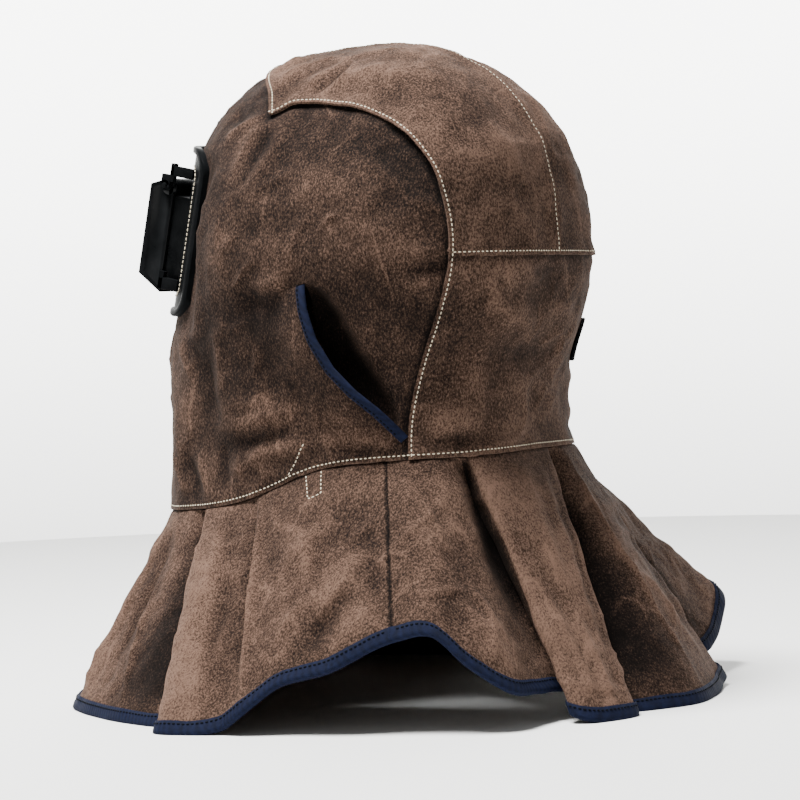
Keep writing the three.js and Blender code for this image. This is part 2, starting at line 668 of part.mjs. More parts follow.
// Flip front: a box whose upper back corner is round about its pivot
function boxOutline() {
  const outline = new THREE.Shape();
  outline.absarc(PIVOT_OUT, PIVOT_UP, PIVOT_ROUND, Math.PI, rad(67), true);
  outline.lineTo(BOX_FRONT, BOX_TOP_FRONT);
  outline.lineTo(BOX_FRONT, BOX_LOW_FRONT);
  outline.lineTo(BOX_BACK, BOX_LOW_BACK);
  const body = new THREE.ExtrudeGeometry(outline, {
    depth: 2 * BOX_HALF,
    bevelEnabled: false,
    curveSegments: 8,
  });
  const sideways = new THREE.Matrix4().makeBasis(v3(0, -1, 0), v3(0, 0, 1), v3(-1, 0, 0));
  return fromGeometry(body.applyMatrix4(sideways).translate(BOX_HALF, 0, 0));
}
const shadeLens = lensBlock(BOX_FRONT - SHADE_BACK, BOX_FRONT - SHADE_FRONT, 0);
const boxHollow = joined([
  lensBox([-BOX_ROOM.half, BOX_ROOM.half], [0, BOX_FRONT - BOX_ROOM.wall], [BOX_ROOM.low, BOX_ROOM.high]),
  lensBlock(BOX_FRONT - BOX_ROOM.wall - 1, BOX_FRONT - SHADE_FRONT + GAP, GAP),
]);
const flipFrame = boxOutline().subtract(boxHollow).subtract(windowHole).subtract(joined(pinHoles));

// The face panel with its lens window and both vents
const faceHole = roundedBlock(FACE_HOLE.half, FACE_HOLE.low, FACE_HOLE.high, FACE_HOLE.corner, [-60, 60]);
const facePanel = flatFace
  .subtract(bothSides(lostOutline))
  .add(lips)
  .subtract(tapeRoom)
  .subtract(moved(faceHole, lensHolder.matrix))
  .decompose()
  .sort((a, b) => b.volume() - a.volume())[0];

// A pleat row becomes six lines: under layer, turn, middle layer and edge, then the upper layer.
function pleatLines(row) {
  if (!row.lap) return [row];
  const mid = (row.under + row.reach) / 2;
  const turn = THREE.MathUtils.radToDeg((row.reach - row.under) / 4 / row.reach) * row.faces;
  const end = row.hem + row.lap * row.faces;
  const places = [
    [end, row.under],
    [end + turn, (row.under + mid) / 2],
    [end, mid],
    [row.hem + turn, mid],
    [row.hem, (mid + row.reach) / 2],
    [row.hem + turn, row.reach],
  ];
  const made = places.map(([hem, reach], i) => ({
    neck: row.neck + (i - 2.5) * 0.6 * row.faces,
    step: -1.8 + (i * 2.1) / 5,
    hem,
    reach,
    lift: row.liftUnder + ((row.lift - row.liftUnder) * i) / 5,
  }));
  return row.faces > 0 ? made : made.reverse();
}

// Fold lines all the way round, from the right side seam over the front and the back
const leftFront = FRONT_FOLDS.flatMap(pleatLines);
const rightFront = leftFront
  .slice(1)
  .reverse()
  .map((row) => ({
    ...row,
    neck: -row.neck,
    hem: -row.hem,
    reach: row.reach + (RIGHT_FLARE * Math.max(0, row.hem - 100)) / 19,
  }));
const folds = [...rightFront, ...leftFront, ...BACK_FOLDS.flatMap(pleatLines)];
const capeFrontEnd = rightFront.length + leftFront.length - 1;
const hemPoints = folds.map((row) =>
  v3(row.reach * Math.sin(rad(row.hem)), -row.reach * Math.cos(rad(row.hem)), row.lift - HEM_SINK),
);

// Lines of the cape between its folds: where each starts at the neck and ends at the hem.
function capeLines() {
  const n = folds.length;
  const at = (i) => hemPoints[(i + n) % n];
  const long = (i) => at(i + 1).distanceTo(at(i));
  const slope = (i) => {
    const h0 = long(i - 1);
    const h1 = long(i);
    const a = at(i).clone().sub(at(i - 1)).divideScalar(h0);
    const b = at(i + 1).clone().sub(at(i)).divideScalar(h1);
    return a.multiplyScalar(h1).add(b.multiplyScalar(h0)).divideScalar(h0 + h1);
  };
  const lines = [];
  for (let i = 0; i < n; i += 1) {
    const h = long(i);
    const parts = Math.max(1, Math.round(h / CAPE_STEP));
    const next = i === n - 1 ? { ...folds[0], neck: folds[0].neck + 360 } : folds[i + 1];
    for (let k = 0; k < parts; k += 1) {
      const s = k / parts;
      const hem = at(i).clone().multiplyScalar((1 - s) ** 2 * (1 + 2 * s));
      hem.addScaledVector(at(i + 1), s * s * (3 - 2 * s));
      hem.addScaledVector(slope(i), h * s * (1 - s) ** 2);
      hem.addScaledVector(slope(i + 1), -h * s * s * (1 - s));
      hem.z = Math.max(hem.z, -HEM_SINK);
      const neck = folds[i].neck + (next.neck - folds[i].neck) * s;
      const step = folds[i].step + (next.step - folds[i].step) * s;
      lines.push({ fold: i, first: k === 0, neck, step, hem });
    }
  }
  return lines;
}
const lines = capeLines();

// Shares below 0 run up from the shoulder under the neck edge, 0 to 1 from the shoulder to the hem.
function capePoint(line, share) {
  const z = neckAt(line.neck);
  const under = headPoint(line.neck, z - NECK_DROP, line.step - TUCK_IN);
  const shoulder = headPoint(line.neck, z - CAPE_SHOULDER, line.step - NECK_DROP);
  if (share >= 0) return shoulder.lerp(line.hem, share);
  if (share >= NECK_SHARE) return shoulder.lerp(under, share / NECK_SHARE);
  const top = headPoint(line.neck, z - NECK_DROP + CAPE_TUCK, line.step - TUCK_IN);
  return under.lerp(top, (share - NECK_SHARE) / (-1 - NECK_SHARE));
}

// The cape's middle face is thickened by moving each point along its normal.
function capeNormal(index, share) {
  const n = lines.length;
  const a = capePoint(lines[(index + n - 1) % n], share);
  const b = capePoint(lines[(index + 1) % n], share);
  const here = lines[index % n];
  const up = capePoint(here, share).sub(capePoint(here, share + 0.04));
  return b.sub(a).cross(up).normalize();
}
const longLine = (line) => capePoint(line, 0).distanceTo(line.hem);

// A strip of the cape between two fold lines, over a list of shares and offsets.
function capeStrip(from, to, stations) {
  const list = [];
  const start = lines.findIndex((l) => l.fold === from && l.first);
  const stop = lines.findIndex((l) => l.fold === to && l.first);
  const count = (stop - start + lines.length) % lines.length;
  for (let k = 0; k <= count; k += 1) {
    const index = (start + k) % lines.length;
    list.push(
      stations.map(([share, back, off]) => {
        const at = share - back / longLine(lines[index]);
        const p = capePoint(lines[index], at).addScaledVector(capeNormal(index, Math.max(at, 0)), off);
        const along = capePoint(lines[(index + 1) % lines.length], at);
        along.sub(capePoint(lines[(index + lines.length - 1) % lines.length], at)).normalize();
        const inset = k === 0 ? 1 : k === count ? -1 : 0;
        return p.addScaledVector(along, (inset * SEAM_GAP) / 2);
      }),
    );
  }
  return list;
}

// A closed band swept through a list of cross-section rings.
function swept(rings) {
  const n = rings[0].length;
  const faces = [];
  for (let i = 0; i < rings.length - 1; i += 1)
    for (let k = 0; k < n; k += 1) {
      const a = i * n + k;
      const b = i * n + ((k + 1) % n);
      faces.push([a, b, b + n], [a, b + n, a + n]);
    }
  const cap = THREE.ShapeUtils.triangulateShape(SECTION.slice(0, n), []);
  const end = (rings.length - 1) * n;
  cap.forEach(([a, b, c]) => {
    faces.push([a, c, b]);
    faces.push([a + end, b + end, c + end]);
  });
  return solid(rings.flat(), faces);
}

const half = LEATHER / 2;
const capeStations = (side) => [
  ...[-1, NECK_SHARE, 0, CAPE_MIDDLE].map((share) => [share, 0, side * half]),
  [1, BINDING_TALL + 1, side * half],
  [1, BINDING_TURN + 1.6, side * half],
];
function capePanel(from, to) {
  return wall(capeStrip(from, to, capeStations(1)), capeStrip(from, to, capeStations(-1)));
}

// The binding folds over the hem: outer leg, turn and inner leg.
const legOut = half + GAP + TAPE;
const legIn = half + GAP;
const SECTION = [
  [legOut, BINDING_TALL],
  [legIn, BINDING_TALL],
  [legIn, BINDING_TURN],
  [-legIn, BINDING_TURN],
  [-legIn, BINDING_TALL],
  [-legOut, BINDING_TALL],
  [-legOut, 0],
  [legOut, 0],
].map(([off, up]) => new THREE.Vector2(off, up));
const floor = block([-300, 300], [-300, 300], [-20, 0]);
function hemBinding(from, to) {
  const strip = capeStrip(from, to, SECTION.map((p) => [1, p.y, p.x]));
  return swept(strip).subtract(floor);
}

const capeFront = capePanel(0, capeFrontEnd);
const capeBack = capePanel(capeFrontEnd, 0);
const bindingFront = hemBinding(0, capeFrontEnd);
const bindingBack = hemBinding(capeFrontEnd, 0);

// Adjusting tab on the outside of the back panel, right of the middle
function neckTab() {
  const angles = Array.from({ length: 9 }, (_, i) => TAB.from + ((TAB.to - TAB.from) * i) / 8);
  const levels = [TAB.low, (TAB.low + TAB.high) / 2, TAB.high];
  const face = (d) =>
    levels.map((level) => angles.map((a) => headPoint(a, level).addScaledVector(headNormal(a, level), d)));
  return wall(face(TAB.thick + 0.9), face(0.9));
}

function paint(color, roughness, metalness = 0) {
  return new THREE.MeshStandardMaterial({ color, roughness, metalness });
}
const suede = () => paint(0x5e4a40, 0.95);
const navy = () => paint(0x2b3358, 0.85);
const black = () => paint(0x1c1d1f, 0.4);

const hood = new THREE.Group();
hood.name = "leather_welding_hood";
hood.add(lensHolder);
function add(name, shape, material, group = hood) {
  const { points, faces } = unpacked(shape);
  const geometry = new THREE.BufferGeometry().setFromPoints(points);
  geometry.setIndex(faces.flat());
  geometry.computeVertexNormals();
  const mesh = new THREE.Mesh(geometry, material);
  mesh.name = name;
  group.add(mesh);
}

add("face_panel", facePanel, suede());
add("crown_panel_left", crownLeft, suede());
add("crown_panel_right", crownRight, suede());
add("back_panel", backPanel, suede());
add("cape_front", capeFront, suede());
add("cape_back", capeBack, suede());
add("hem_binding_front", bindingFront, navy());
add("hem_binding_back", bindingBack, navy());
add("vent_binding_left", ventTape, navy());
add("vent_binding_right", mirrored(ventTape), navy());
add("neck_tab", neckTab(), black());
add("lens_plate", lensPlate, black(), lensHolder);
add("base_frame", baseFrame, black(), lensHolder);
add("cover_lens", coverLens, paint(0xdfe6e4, 0.1), lensHolder);
add("hinge_pin_left", pins[0], black(), lensHolder);
add("hinge_pin_right", pins[1], black(), lensHolder);
add("flip_frame", flipFrame, black(), lensHolder);
add("shade_lens", shadeLens, paint(0x10180f, 0.15), lensHolder);

export default hood;
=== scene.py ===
"""Leather welding hood with a pleated cape and a flip-up lens holder, dressed over its CAD frame."""

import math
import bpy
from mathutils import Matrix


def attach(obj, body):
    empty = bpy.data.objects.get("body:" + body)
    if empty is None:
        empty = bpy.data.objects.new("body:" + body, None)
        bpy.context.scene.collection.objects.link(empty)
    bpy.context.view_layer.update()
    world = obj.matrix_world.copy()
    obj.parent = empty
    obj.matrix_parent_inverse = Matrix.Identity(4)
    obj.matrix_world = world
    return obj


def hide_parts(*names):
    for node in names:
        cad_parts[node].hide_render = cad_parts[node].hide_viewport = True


bl_info = {
    "name": "Leather Welding Hood",
    "version": (1, 0, 0),
    "blender": (4, 5, 0),
    "location": "View3D > Sidebar > Hood",
    "description": "Sews a suede welding hood with pleats, bindings, stitches and a flip-up lens holder",
    "category": "Add Mesh",
}

from collections import namedtuple
from functools import lru_cache, partial

import bmesh
import bpy
import numpy as np
from bpy.props import FloatProperty, FloatVectorProperty, PointerProperty
from mathutils import Matrix, Vector, noise
from mathutils.bvhtree import BVHTree
from mathutils.kdtree import KDTree

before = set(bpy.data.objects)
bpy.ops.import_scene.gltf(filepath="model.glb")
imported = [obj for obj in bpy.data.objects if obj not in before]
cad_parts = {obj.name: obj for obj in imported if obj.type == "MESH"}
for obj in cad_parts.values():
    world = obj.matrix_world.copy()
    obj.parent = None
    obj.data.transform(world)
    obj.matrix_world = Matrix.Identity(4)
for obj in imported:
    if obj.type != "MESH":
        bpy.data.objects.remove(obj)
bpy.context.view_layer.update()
MM = 0.001

# Head of the hood, in millimetres: plan centre, back seam, crown and roundness
HEAD_Y = -12.0
BACK_SEAM_Z = 290.0
SEAM_LEVEL = 287.0
CROWN_Z = 430.0
CROWN_ARC = 200.0
CROWN_TOP = BACK_SEAM_Z + CROWN_ARC
PLAN_FRONT = 2.15
PLAN_BACK = 3.0
ROUND_FRONT = 2.35
ROUND_BACK = 2.45
ROUND_SIDE = 1.9
HEAD_ROWS = [
    # height, reach to the front, reach to the back, half width
    (100, 151, 123, 110), (145, 150, 125, 108), (180, 150, 117, 107), (215, 147, 120, 108),
    (250, 139, 131, 113), (290, 128, 138, 117),
]
NECK_ROWS = [
    # angle from the front, height of the bottom edge
    (0, 125), (26, 126), (48, 129), (60, 132), (72, 137), (84, 145), (92, 151), (100, 155.5),
    (115, 159.5), (129, 161), (150, 162), (180, 163),
]
SIDE_SEAM = [
    # angle, height, from the neck up to the corner of the forehead
    (129, 145), (129, 163), (130, 190), (133.5, 222), (137.5, 255), (140, 290), (139.5, 320),
    (136.5, 347), (129, 370), (116, 383), (98, 388), (85, 388.5), (79, 385), (74, 383),
]
BROW_SEAM = [
    # angle, height, from the corner of the forehead to its middle
    (74, 383), (63, 399), (40, 413), (20, 418), (0, 419.5),
]
DENTS = [
    # angle, level, spread round, spread up, height
    (24, 172, 7, 38, -3),
    (36, 160, 6, 42, 2.5),
    (52, 175, 8, 40, -2.5),
    (70, 205, 14, 16, 2.5),
    (58, 365, 16, 12, -2),
    (84, 425, 26, 9, 2),
    (112, 178, 12, 9, -2.5),
]
CREASES = [
    # start angle and level, end angle and level, width, height
    (70, 395, 52, 374, 5, 2.2),
    (72, 390, 66, 348, 6, 2.0),
    (78, 388, 73, 340, 5, -1.6),
    (86, 383, 76, 338, 7, 1.4),
    (60, 392, 45, 392, 5, -1.4),
    (84, 413, 104, 446, 6, 2.4),
    (92, 408, 112, 440, 6, -1.8),
    (101, 416, 132, 420, 6, 2.0),
    (117, 424, 143, 400, 7, 1.6),
    (66, 420, 67, 448, 6, 2.2),
    (52, 428, 40, 452, 7, 1.8),
    (128, 267, 141, 275, 4, 1.5),
    (128, 278, 141, 284, 4, -1.5),
    (126, 288, 140, 292, 4, 1.1),
    (79, 271, 97, 275, 7, 2.6),
    (70, 255, 93, 268, 8, -2.0),
    (35, 243, 47, 211, 5, 1.8),
    (42, 246, 53, 214, 5, -1.6),
    (59, 246, 61, 200, 6, 1.8),
    (52, 228, 56, 190, 5, -1.4),
    (62, 181, 93, 195, 7, 2.6),
    (64, 171, 92, 182, 6, -2.2),
    (66, 163, 103, 173, 6, 1.8),
    (104, 177, 127, 173, 5, 2.0),
    (104, 168, 126, 166, 4, -2.0),
    (33, 166, 41, 134, 4, 1.8),
    (40, 168, 47, 136, 4, -1.8),
    (47, 162, 52, 137, 4, 1.6),
    (58, 174, 62, 140, 4, -1.6),
    (66, 168, 69, 145, 4, 1.4),
    (71, 168, 82, 152, 4, 1.4),
    (132, 181, 150, 184, 5, 1.8),
    (134, 172, 156, 175, 5, -1.5),
    (149, 259, 172, 239, 8, 1.2),
    (149, 222, 183, 226, 8, -1.6),
    (96, 359, 112, 326, 12, 1.2),
    (114, 373, 132, 338, 12, -1.2),
    (157, 371, 167, 324, 10, 1.2),
    (161, 284, 205, 257, 10, -1.2),
]

# Ear vents
VENT_EDGE = [
    # angle, height of the bound lip, from the tip to the side seam
    (98.5, 273), (100, 257), (103, 238), (108, 220), (114.5, 205), (121, 193), (127, 180),
]
VENT_CHART = 112.0
VENT_LIFT = 12.0
VENT_SINK = 19.0
VENT_HOLLOW = 25.0
VENT_FLAT = 0.4
VENT_UNDER = 10.0
VENT_TAPE = 5.2
VENT_SPREAD_TIP = 64.0
VENT_SPREAD_SEAM = 27.0
VENT_END = 6.5
# Powers that round the swell of the lip, and the hollow and the cut below it
LIP_ROUND = 0.8
HOLLOW_LEAN, HOLLOW_ROUND = 0.75, 0.7
CUT_ROUND = 1.2

# Cape: fold lines from the neck to the hem, as the CAD has them
Fold = namedtuple("Fold", "neck step hem reach lift")
# A pleat also has a lap, the side that it faces, and the reach and lift of its under layer
Pleat = namedtuple("Pleat", "neck lap faces hem under reach lift low")
FRONT_FOLDS = [
    Fold(0, 0, 0, 213, 0),
    Fold(15, 0, 21, 214, 0),
    Fold(29, 0.3, 38, 219, 0),
    Fold(38, -0.5, 52, 211, 0),
    Fold(44.5, -1.4, 67, 203, 0),
    Pleat(50, 4.5, 1, 75, 199, 218, 0, 0),
    Fold(61, 0, 82, 214, 0),
    Fold(73, -1.0, 88, 205, 4),
    Fold(75.8, 0.3, 91, 205, 11),
    Fold(88, 0, 98, 199, 30),
    Fold(104, 0, 108, 196, 39),
    Fold(123, -0.8, 119, 194, 56),
]
BACK_FOLDS = [
    Fold(127.5, 0, 125.5, 200, 60),
    Fold(132.5, 0, 131.5, 208, 42),
    Fold(138.5, -0.4, 139.5, 207, 23),
    Fold(142.8, -1.2, 146.5, 191, 20),
    Pleat(146.5, 3.5, 1, 151.5, 182, 208, 2, 17),
    Fold(158, 0, 156.5, 210, 0),
    Fold(172, 0, 161, 210, 0),
    Pleat(185, 4, -1, 165, 192, 208, 0, 0),
    Fold(190, -1.0, 171.5, 201, 0),
    Fold(194.5, 0, 180, 212.8, 0),
    Fold(200, 0, 192, 212, 0),
    Fold(205.5, 0, 201, 211, 2),
    Pleat(211, 3.5, -1, 208, 190, 212, 6, 13),
    Fold(218, 0, 217, 209, 20),
    Fold(225, 0, 225, 225, 32),
    Fold(231, 0, 232, 239, 50),
]
CAPE_CREASES = [
    # start neck angle and share of the way to the hem, end, width, height
    (93, 0.70, 117, 0.50, 13, 3.0),
    (88, 0.42, 108, 0.26, 12, 2.0),
    (101, 0.93, 121, 0.76, 10, 2.2),
    (95, 0.86, 112, 0.66, 10, -2.2),
    (128, 0.25, 134, 0.62, 10, 2.0),
    (134, 0.62, 140, 0.94, 11, 2.2),
    (131, 0.30, 139, 0.75, 9, -1.8),
    (158, 0.40, 172, 0.85, 14, -2.0),
    (54, 0.30, 57, 0.90, 8, 1.6),
    (64, 0.15, 67, 0.90, 9, -1.8),
    (20, 0.50, 33, 0.85, 12, 1.8),
    (-20, 0.35, -8, 0.80, 14, 1.8),
    (5, 0.30, 12, 0.85, 14, -1.6),
    (198, 0.45, 204, 0.90, 9, 1.8),
    (-96, 0.45, -112, 0.80, 12, 2.0),
    (76.2, 0.02, 76.4, 0.98, 3, 2.6),
    (74.2, 0.01, 74.2, 0.80, 3, -3.4),
    (99, 0.74, 112, 0.58, 3, 1.8),
    (110, 0.40, 121, 0.30, 3, 1.2),
    (86, 0.80, 96, 0.62, 3, 1.4),
    (38, 0.30, 41, 0.95, 3, 1.6),
    (56, 0.55, 60, 0.30, 3, 1.2),
    (66, 0.75, 70, 0.45, 3, 1.2),
    (129, 0.15, 135, 0.50, 3, 1.5),
    (135, 0.50, 140, 0.80, 3, 1.6),
    (152, 0.45, 158, 0.95, 3, 1.6),
    (163, 0.55, 168, 0.98, 3, 1.8),
    (195, 0.05, 197, 0.95, 3, 2.0),
    (30, 0.02, 31, 0.98, 5, 2.4),
    (36, 0.02, 37, 0.95, 8, -2.6),
    (61, 0.10, 62, 0.95, 9, 2.0),
    (116, 0.30, 121, 0.90, 9, -1.8),
    (164, 0.10, 166, 0.95, 9, 2.2),
    (174, 0.05, 172, 0.90, 6, 2.0),
    (179, 0.05, 177, 0.90, 6, -1.8),
]
# Flare of the hem on the right, and the hem angles over which it grows
RIGHT_FLARE = 21.0
FLARE_FROM = 100.0
FLARE_SPAN = 19.0
# Angle between the lines of a pleat at the neck, and the neck steps of its lowest and highest layer
PLEAT_GAP = 0.6
PLEAT_SUNK = -1.8
PLEAT_RISE = 2.1
# Neck edge: length and depth of the tuck, where the cape leaves it, and the share that the turn takes
CAPE_TUCK = 7.0
CAPE_SHOULDER = 1.4
TUCK_IN = 5.4
NECK_DROP = 0.6
NECK_SHARE = -0.4
# How far the leather ends short of the hem, inside its tape, and how far the hem is flattened
HEM_SHORT = 3.4
HEM_SINK = 0.8

# Lens holder: place, lean and plan of its plate
LENS_MID = np.array([0.0, -130.5, 314.5])
LENS_LEAN = math.radians(12.5)
PLATE_PLAN = [
    # distance across, depth
    (0, 0), (30, 0.6), (50, 3), (58, 6.5), (65, 12), (72, 19.5), (78, 27), (82, 33),
]
PLATE_WIDE = 82.0
PLATE_HALF = 57.0
PLATE_CORNER = 16.0
PLATE_THICK = 2.6
PLATE_REACH = 60.0
SEAT_GAP = 0.7
SEAT_FADE = 15.0
RIM_SLOPE = 1.7
BOX_HALF = 62.0
BASE_HALF = 60.35
BASE_LOW = -38.35
BASE_HIGH = 22.35
FACE_HOLE = {"half": 66.0, "low": -42.0, "high": 26.0}
ARM_FROM = 0.5
ARM_TO = 4.5
PIVOT_OUT = 9.4
PIVOT_UP = 28.0
EAR_ROUND = 3.6
ARM_BARS = [
    # distance out of the plate, distance up it
    ((-12, 6.5), (35, 42)),
    ((3, 6.5), (31, 43.5)),
    ((5.8, 13), (28, 35.5)),
    ((-12, 4), (-41, -33)),
    ((0, 4), (-41, -29)),
]

# Neck tab at the back of the right side
TAB_FROM = 211.5
TAB_TO = 250.0
TAB_LOW = 217.0
TAB_HIGH = 246.0
TAB_THICK = 2.6
TAB_OFF = 0.9


def linear(code):
    """An sRGB hex colour as linear light."""
    parts = [int(code[i : i + 2], 16) / 255 for i in (1, 3, 5)]
    return tuple(c / 12.92 if c <= 0.04045 else ((c + 0.055) / 1.055) ** 2.4 for c in parts)


class HoodSizes(bpy.types.PropertyGroup):
    """Sizes that a maker would change"""

    leather: FloatProperty(
        name="Leather", description="Thickness of the suede", default=1.8 * MM, unit="LENGTH"
    )
    grid: FloatProperty(
        name="Grid", description="Spacing of the points of the leather", default=2.6 * MM, unit="LENGTH"
    )
    stitch: FloatProperty(
        name="Stitch", description="Distance from one stitch to the next", default=3.1 * MM, unit="LENGTH"
    )
    stitch_inset: FloatProperty(
        name="Stitch inset",
        description="Distance of a seam's stitches from its edge",
        default=2.6 * MM,
        unit="LENGTH",
    )
    lap: FloatProperty(
        name="Lap",
        description="Height of a lapped seam over the leather below it",
        default=2.2 * MM,
        unit="LENGTH",
    )
    binding: FloatProperty(
        name="Hem binding", description="Height of the tape on the hem", default=10.0 * MM, unit="LENGTH"
    )
    tape: FloatProperty(
        name="Tape", description="Thickness of the binding tape", default=0.9 * MM, unit="LENGTH"
    )


class HoodColours(bpy.types.PropertyGroup):
    """Colours that a maker would change"""

    suede: FloatVectorProperty(
        name="Suede", description="Nap of the leather", subtype="COLOR", default=linear("#362820")
    )
    # The darker colour also carries the painted shade of the suede
    suede_dark: FloatVectorProperty(
        name="Suede against the nap",
        description="Darker strokes of the nap",
        subtype="COLOR",
        default=linear("#1b130f"),
    )
    # The lighter colour carries rubbed wear and also the painted light of the suede
    suede_worn_and_lit: FloatVectorProperty(
        name="Worn suede", description="Rubbed ridges and edges", subtype="COLOR", default=linear("#59453a")
    )
    tape: FloatVectorProperty(
        name="Tape", description="Navy binding tape", subtype="COLOR", default=linear("#10162c")
    )
    thread: FloatVectorProperty(
        name="Thread", description="Off-white sewing thread", subtype="COLOR", default=linear("#d8ccb4")
    )
    plastic: FloatVectorProperty(
        name="Plastic", description="Black moulded plastic", subtype="COLOR", default=linear("#0a0b0c")
    )
    floor: FloatVectorProperty(
        name="Floor", description="Pale floor", subtype="COLOR", default=linear("#f7f7f5")
    )


def sizes():
    return bpy.context.scene.hood_sizes


def colours():
    return bpy.context.scene.hood_colours


def in_mm(length):
    return length / MM


# Shapes of the head


def curve(xs, ys):
    """A smooth curve through points that doesn't overshoot between them."""
    x, y = np.array(xs, float), np.array(ys, float)
    step = np.diff(y) / np.diff(x)
    before, after = step[:-1], step[1:]
    rising = before * after > 0
    total = np.where(rising, before + after, 1.0)
    slope = np.zeros_like(x)
    slope[1:-1] = np.where(rising, 2 * before * after / total, 0.0)

    def at(value):
        t = np.clip(np.asarray(value, float), x[0], x[-1])
        i = np.clip(np.searchsorted(x, t) - 1, 0, len(x) - 2)
        h = x[i + 1] - x[i]
        s = (t - x[i]) / h
        rise = y[i] * (1 - s) ** 2 * (1 + 2 * s) + y[i + 1] * s * s * (3 - 2 * s)
        return rise + h * (slope[i] * s * (1 - s) ** 2 - slope[i + 1] * s * s * (1 - s))

    return at


def columns(rows):
    return list(zip(*rows))


front_at, back_at, half_at = [
    curve(columns(HEAD_ROWS)[0], column) for column in columns(HEAD_ROWS)[1:]
]
neck_curve = curve(*columns(NECK_ROWS))
plate_curve = curve(*columns(PLATE_PLAN))


def fold180(angle):
    return np.abs((np.asarray(angle, float) + 180) % 360 - 180)


def neck_at(angle):
    return neck_curve(fold180(angle))


def fade(share):
    """1 at a share of 0, falling smoothly to 0 at 1."""
    return np.cos(np.minimum(1.0, share) * math.pi / 2) ** 2


def unit(v):
    return v / np.maximum(np.linalg.norm(v, axis=-1, keepdims=True), 1e-9)


def plan_radius(angle, z):
    c, s = np.cos(np.radians(angle)), np.abs(np.sin(np.radians(angle)))
    n = np.where(c > 0, PLAN_FRONT, PLAN_BACK)
    reach = np.where(c > 0, front_at(z), back_at(z))
    return ((s / half_at(z)) ** n + (np.abs(c) / reach) ** n) ** (-1 / n)


def roundness(angle):
    c = np.cos(np.radians(angle))
    return ROUND_SIDE * (1 - c * c) + np.where(c > 0, ROUND_FRONT, ROUND_BACK) * c * c


def level_of(angle, z):
    """A level is a height up to the back seam and a distance over the crown above it."""
    m = roundness(angle)
    h = np.clip((np.asarray(z, float) - BACK_SEAM_Z) / (CROWN_Z - BACK_SEAM_Z), 0, 1)
    r = plan_radius(angle, BACK_SEAM_Z) * (1 - h**m) ** (1 / m)
    lean = np.arctan2(r, np.maximum(z - BACK_SEAM_Z, 0)) / (math.pi / 2)
    return np.where(z <= BACK_SEAM_Z, z, BACK_SEAM_Z + CROWN_ARC * (1 - lean))


def dent_at(angle, level):
    total = 0.0
    for middle, height, wide, tall, out in DENTS:
        a = (fold180(angle) - middle) / wide
        b = (level - height) / tall
        total = total + out * np.exp(-a * a - b * b)
    return total


def to_lens(points):
    """Points in the lens holder's frame: across, into the head, up the plate."""
    p = points - LENS_MID
    c, s = math.cos(LENS_LEAN), math.sin(LENS_LEAN)
    return np.stack([p[..., 0], p[..., 1] * c - p[..., 2] * s, p[..., 1] * s + p[..., 2] * c], -1)


def from_lens(points):
    p = np.asarray(points, float)
    c, s = math.cos(LENS_LEAN), math.sin(LENS_LEAN)
    turned = np.stack([p[..., 0], p[..., 1] * c + p[..., 2] * s, p[..., 2] * c - p[..., 1] * s], -1)
    return turned + LENS_MID


def plate_deep(x):
    return plate_curve(np.abs(x)) + np.maximum(0, np.abs(x) - PLATE_WIDE) * RIM_SLOPE


def beyond_plate(p):
    """How far points of the lens holder's frame lie past the edge of its plate."""
    return np.hypot(
        np.maximum(0, np.abs(p[..., 0]) - PLATE_WIDE), np.maximum(0, np.abs(p[..., 2]) - PLATE_HALF)
    )


def seated(points):
    """The leather is pressed in behind the plate and comes back out round its rim."""
    p = to_lens(points)
    short = plate_deep(p[..., 0]) + PLATE_THICK + SEAT_GAP - p[..., 1]
    press = (short > 0) & (p[..., 1] < PLATE_REACH)
    p[..., 1] += np.where(press, short * fade(beyond_plate(p) / SEAT_FADE), 0)
    return from_lens(p)


def head_point(angle, level, out=0.0):
    """Points of the head's outer face; out moves them off the smooth head."""
    angle, level, out = np.broadcast_arrays(
        np.asarray(angle, float), np.asarray(level, float), np.asarray(out, float)
    )
    s, c = np.sin(np.radians(angle)), np.cos(np.radians(angle))
    dent = dent_at(angle, level)
    low = np.minimum(level, BACK_SEAM_Z)
    flat = plan_radius(angle, low) + dent + out
    lean = (math.pi / 2) * (1 - np.maximum(level - BACK_SEAM_Z, 0) / CROWN_ARC)
    m = roundness(angle)
    wide = (np.sin(lean) / plan_radius(angle, BACK_SEAM_Z)) ** m
    high = np.maximum(np.cos(lean) / (CROWN_Z - BACK_SEAM_Z), 0) ** m
    far = (wide + high) ** (-1 / m) + dent * np.sin(lean) + out
    over = level > BACK_SEAM_Z
    r = np.where(over, far * np.sin(lean), flat)
    z = np.where(over, BACK_SEAM_Z + far * np.cos(lean), level)
    return seated(np.stack([r * s, HEAD_Y - r * c, z], -1))


# Turn in degrees and distance in millimetres over which the head's slope is taken
NORMAL_TURN = 1.0
NORMAL_STEP = 1.5


def head_normal(angle, level):
    low = np.minimum(level, CROWN_TOP - 2 * NORMAL_STEP)
    east = head_point(angle + NORMAL_TURN, low) - head_point(angle - NORMAL_TURN, low)
    up = head_point(angle, low + NORMAL_STEP) - head_point(angle, low - NORMAL_STEP)
    return unit(np.cross(east, up))


SPLINE_STEPS = 24


def smooth_path(rows, count):
    """Evenly spaced chart points (angle, level) on a smooth line through (angle, height) rows."""
    rows = [(a, float(level_of(a, z))) for a, z in rows]
    p = np.array([rows[0]] + rows + [rows[-1]], float)
    found = []
    for i in range(1, len(p) - 2):
        for t in np.linspace(0, 1, SPLINE_STEPS, endpoint=i == len(p) - 3):
            a, b, c, d = p[i - 1 : i + 3]
            bend = 2 * b + (c - a) * t + (2 * a - 5 * b + 4 * c - d) * t * t
            found.append((bend + (3 * b - a - 3 * c + d) * t**3) / 2)
    found = np.array(found)
    return resample(found, head_point(found[:, 0], found[:, 1]), count=count)


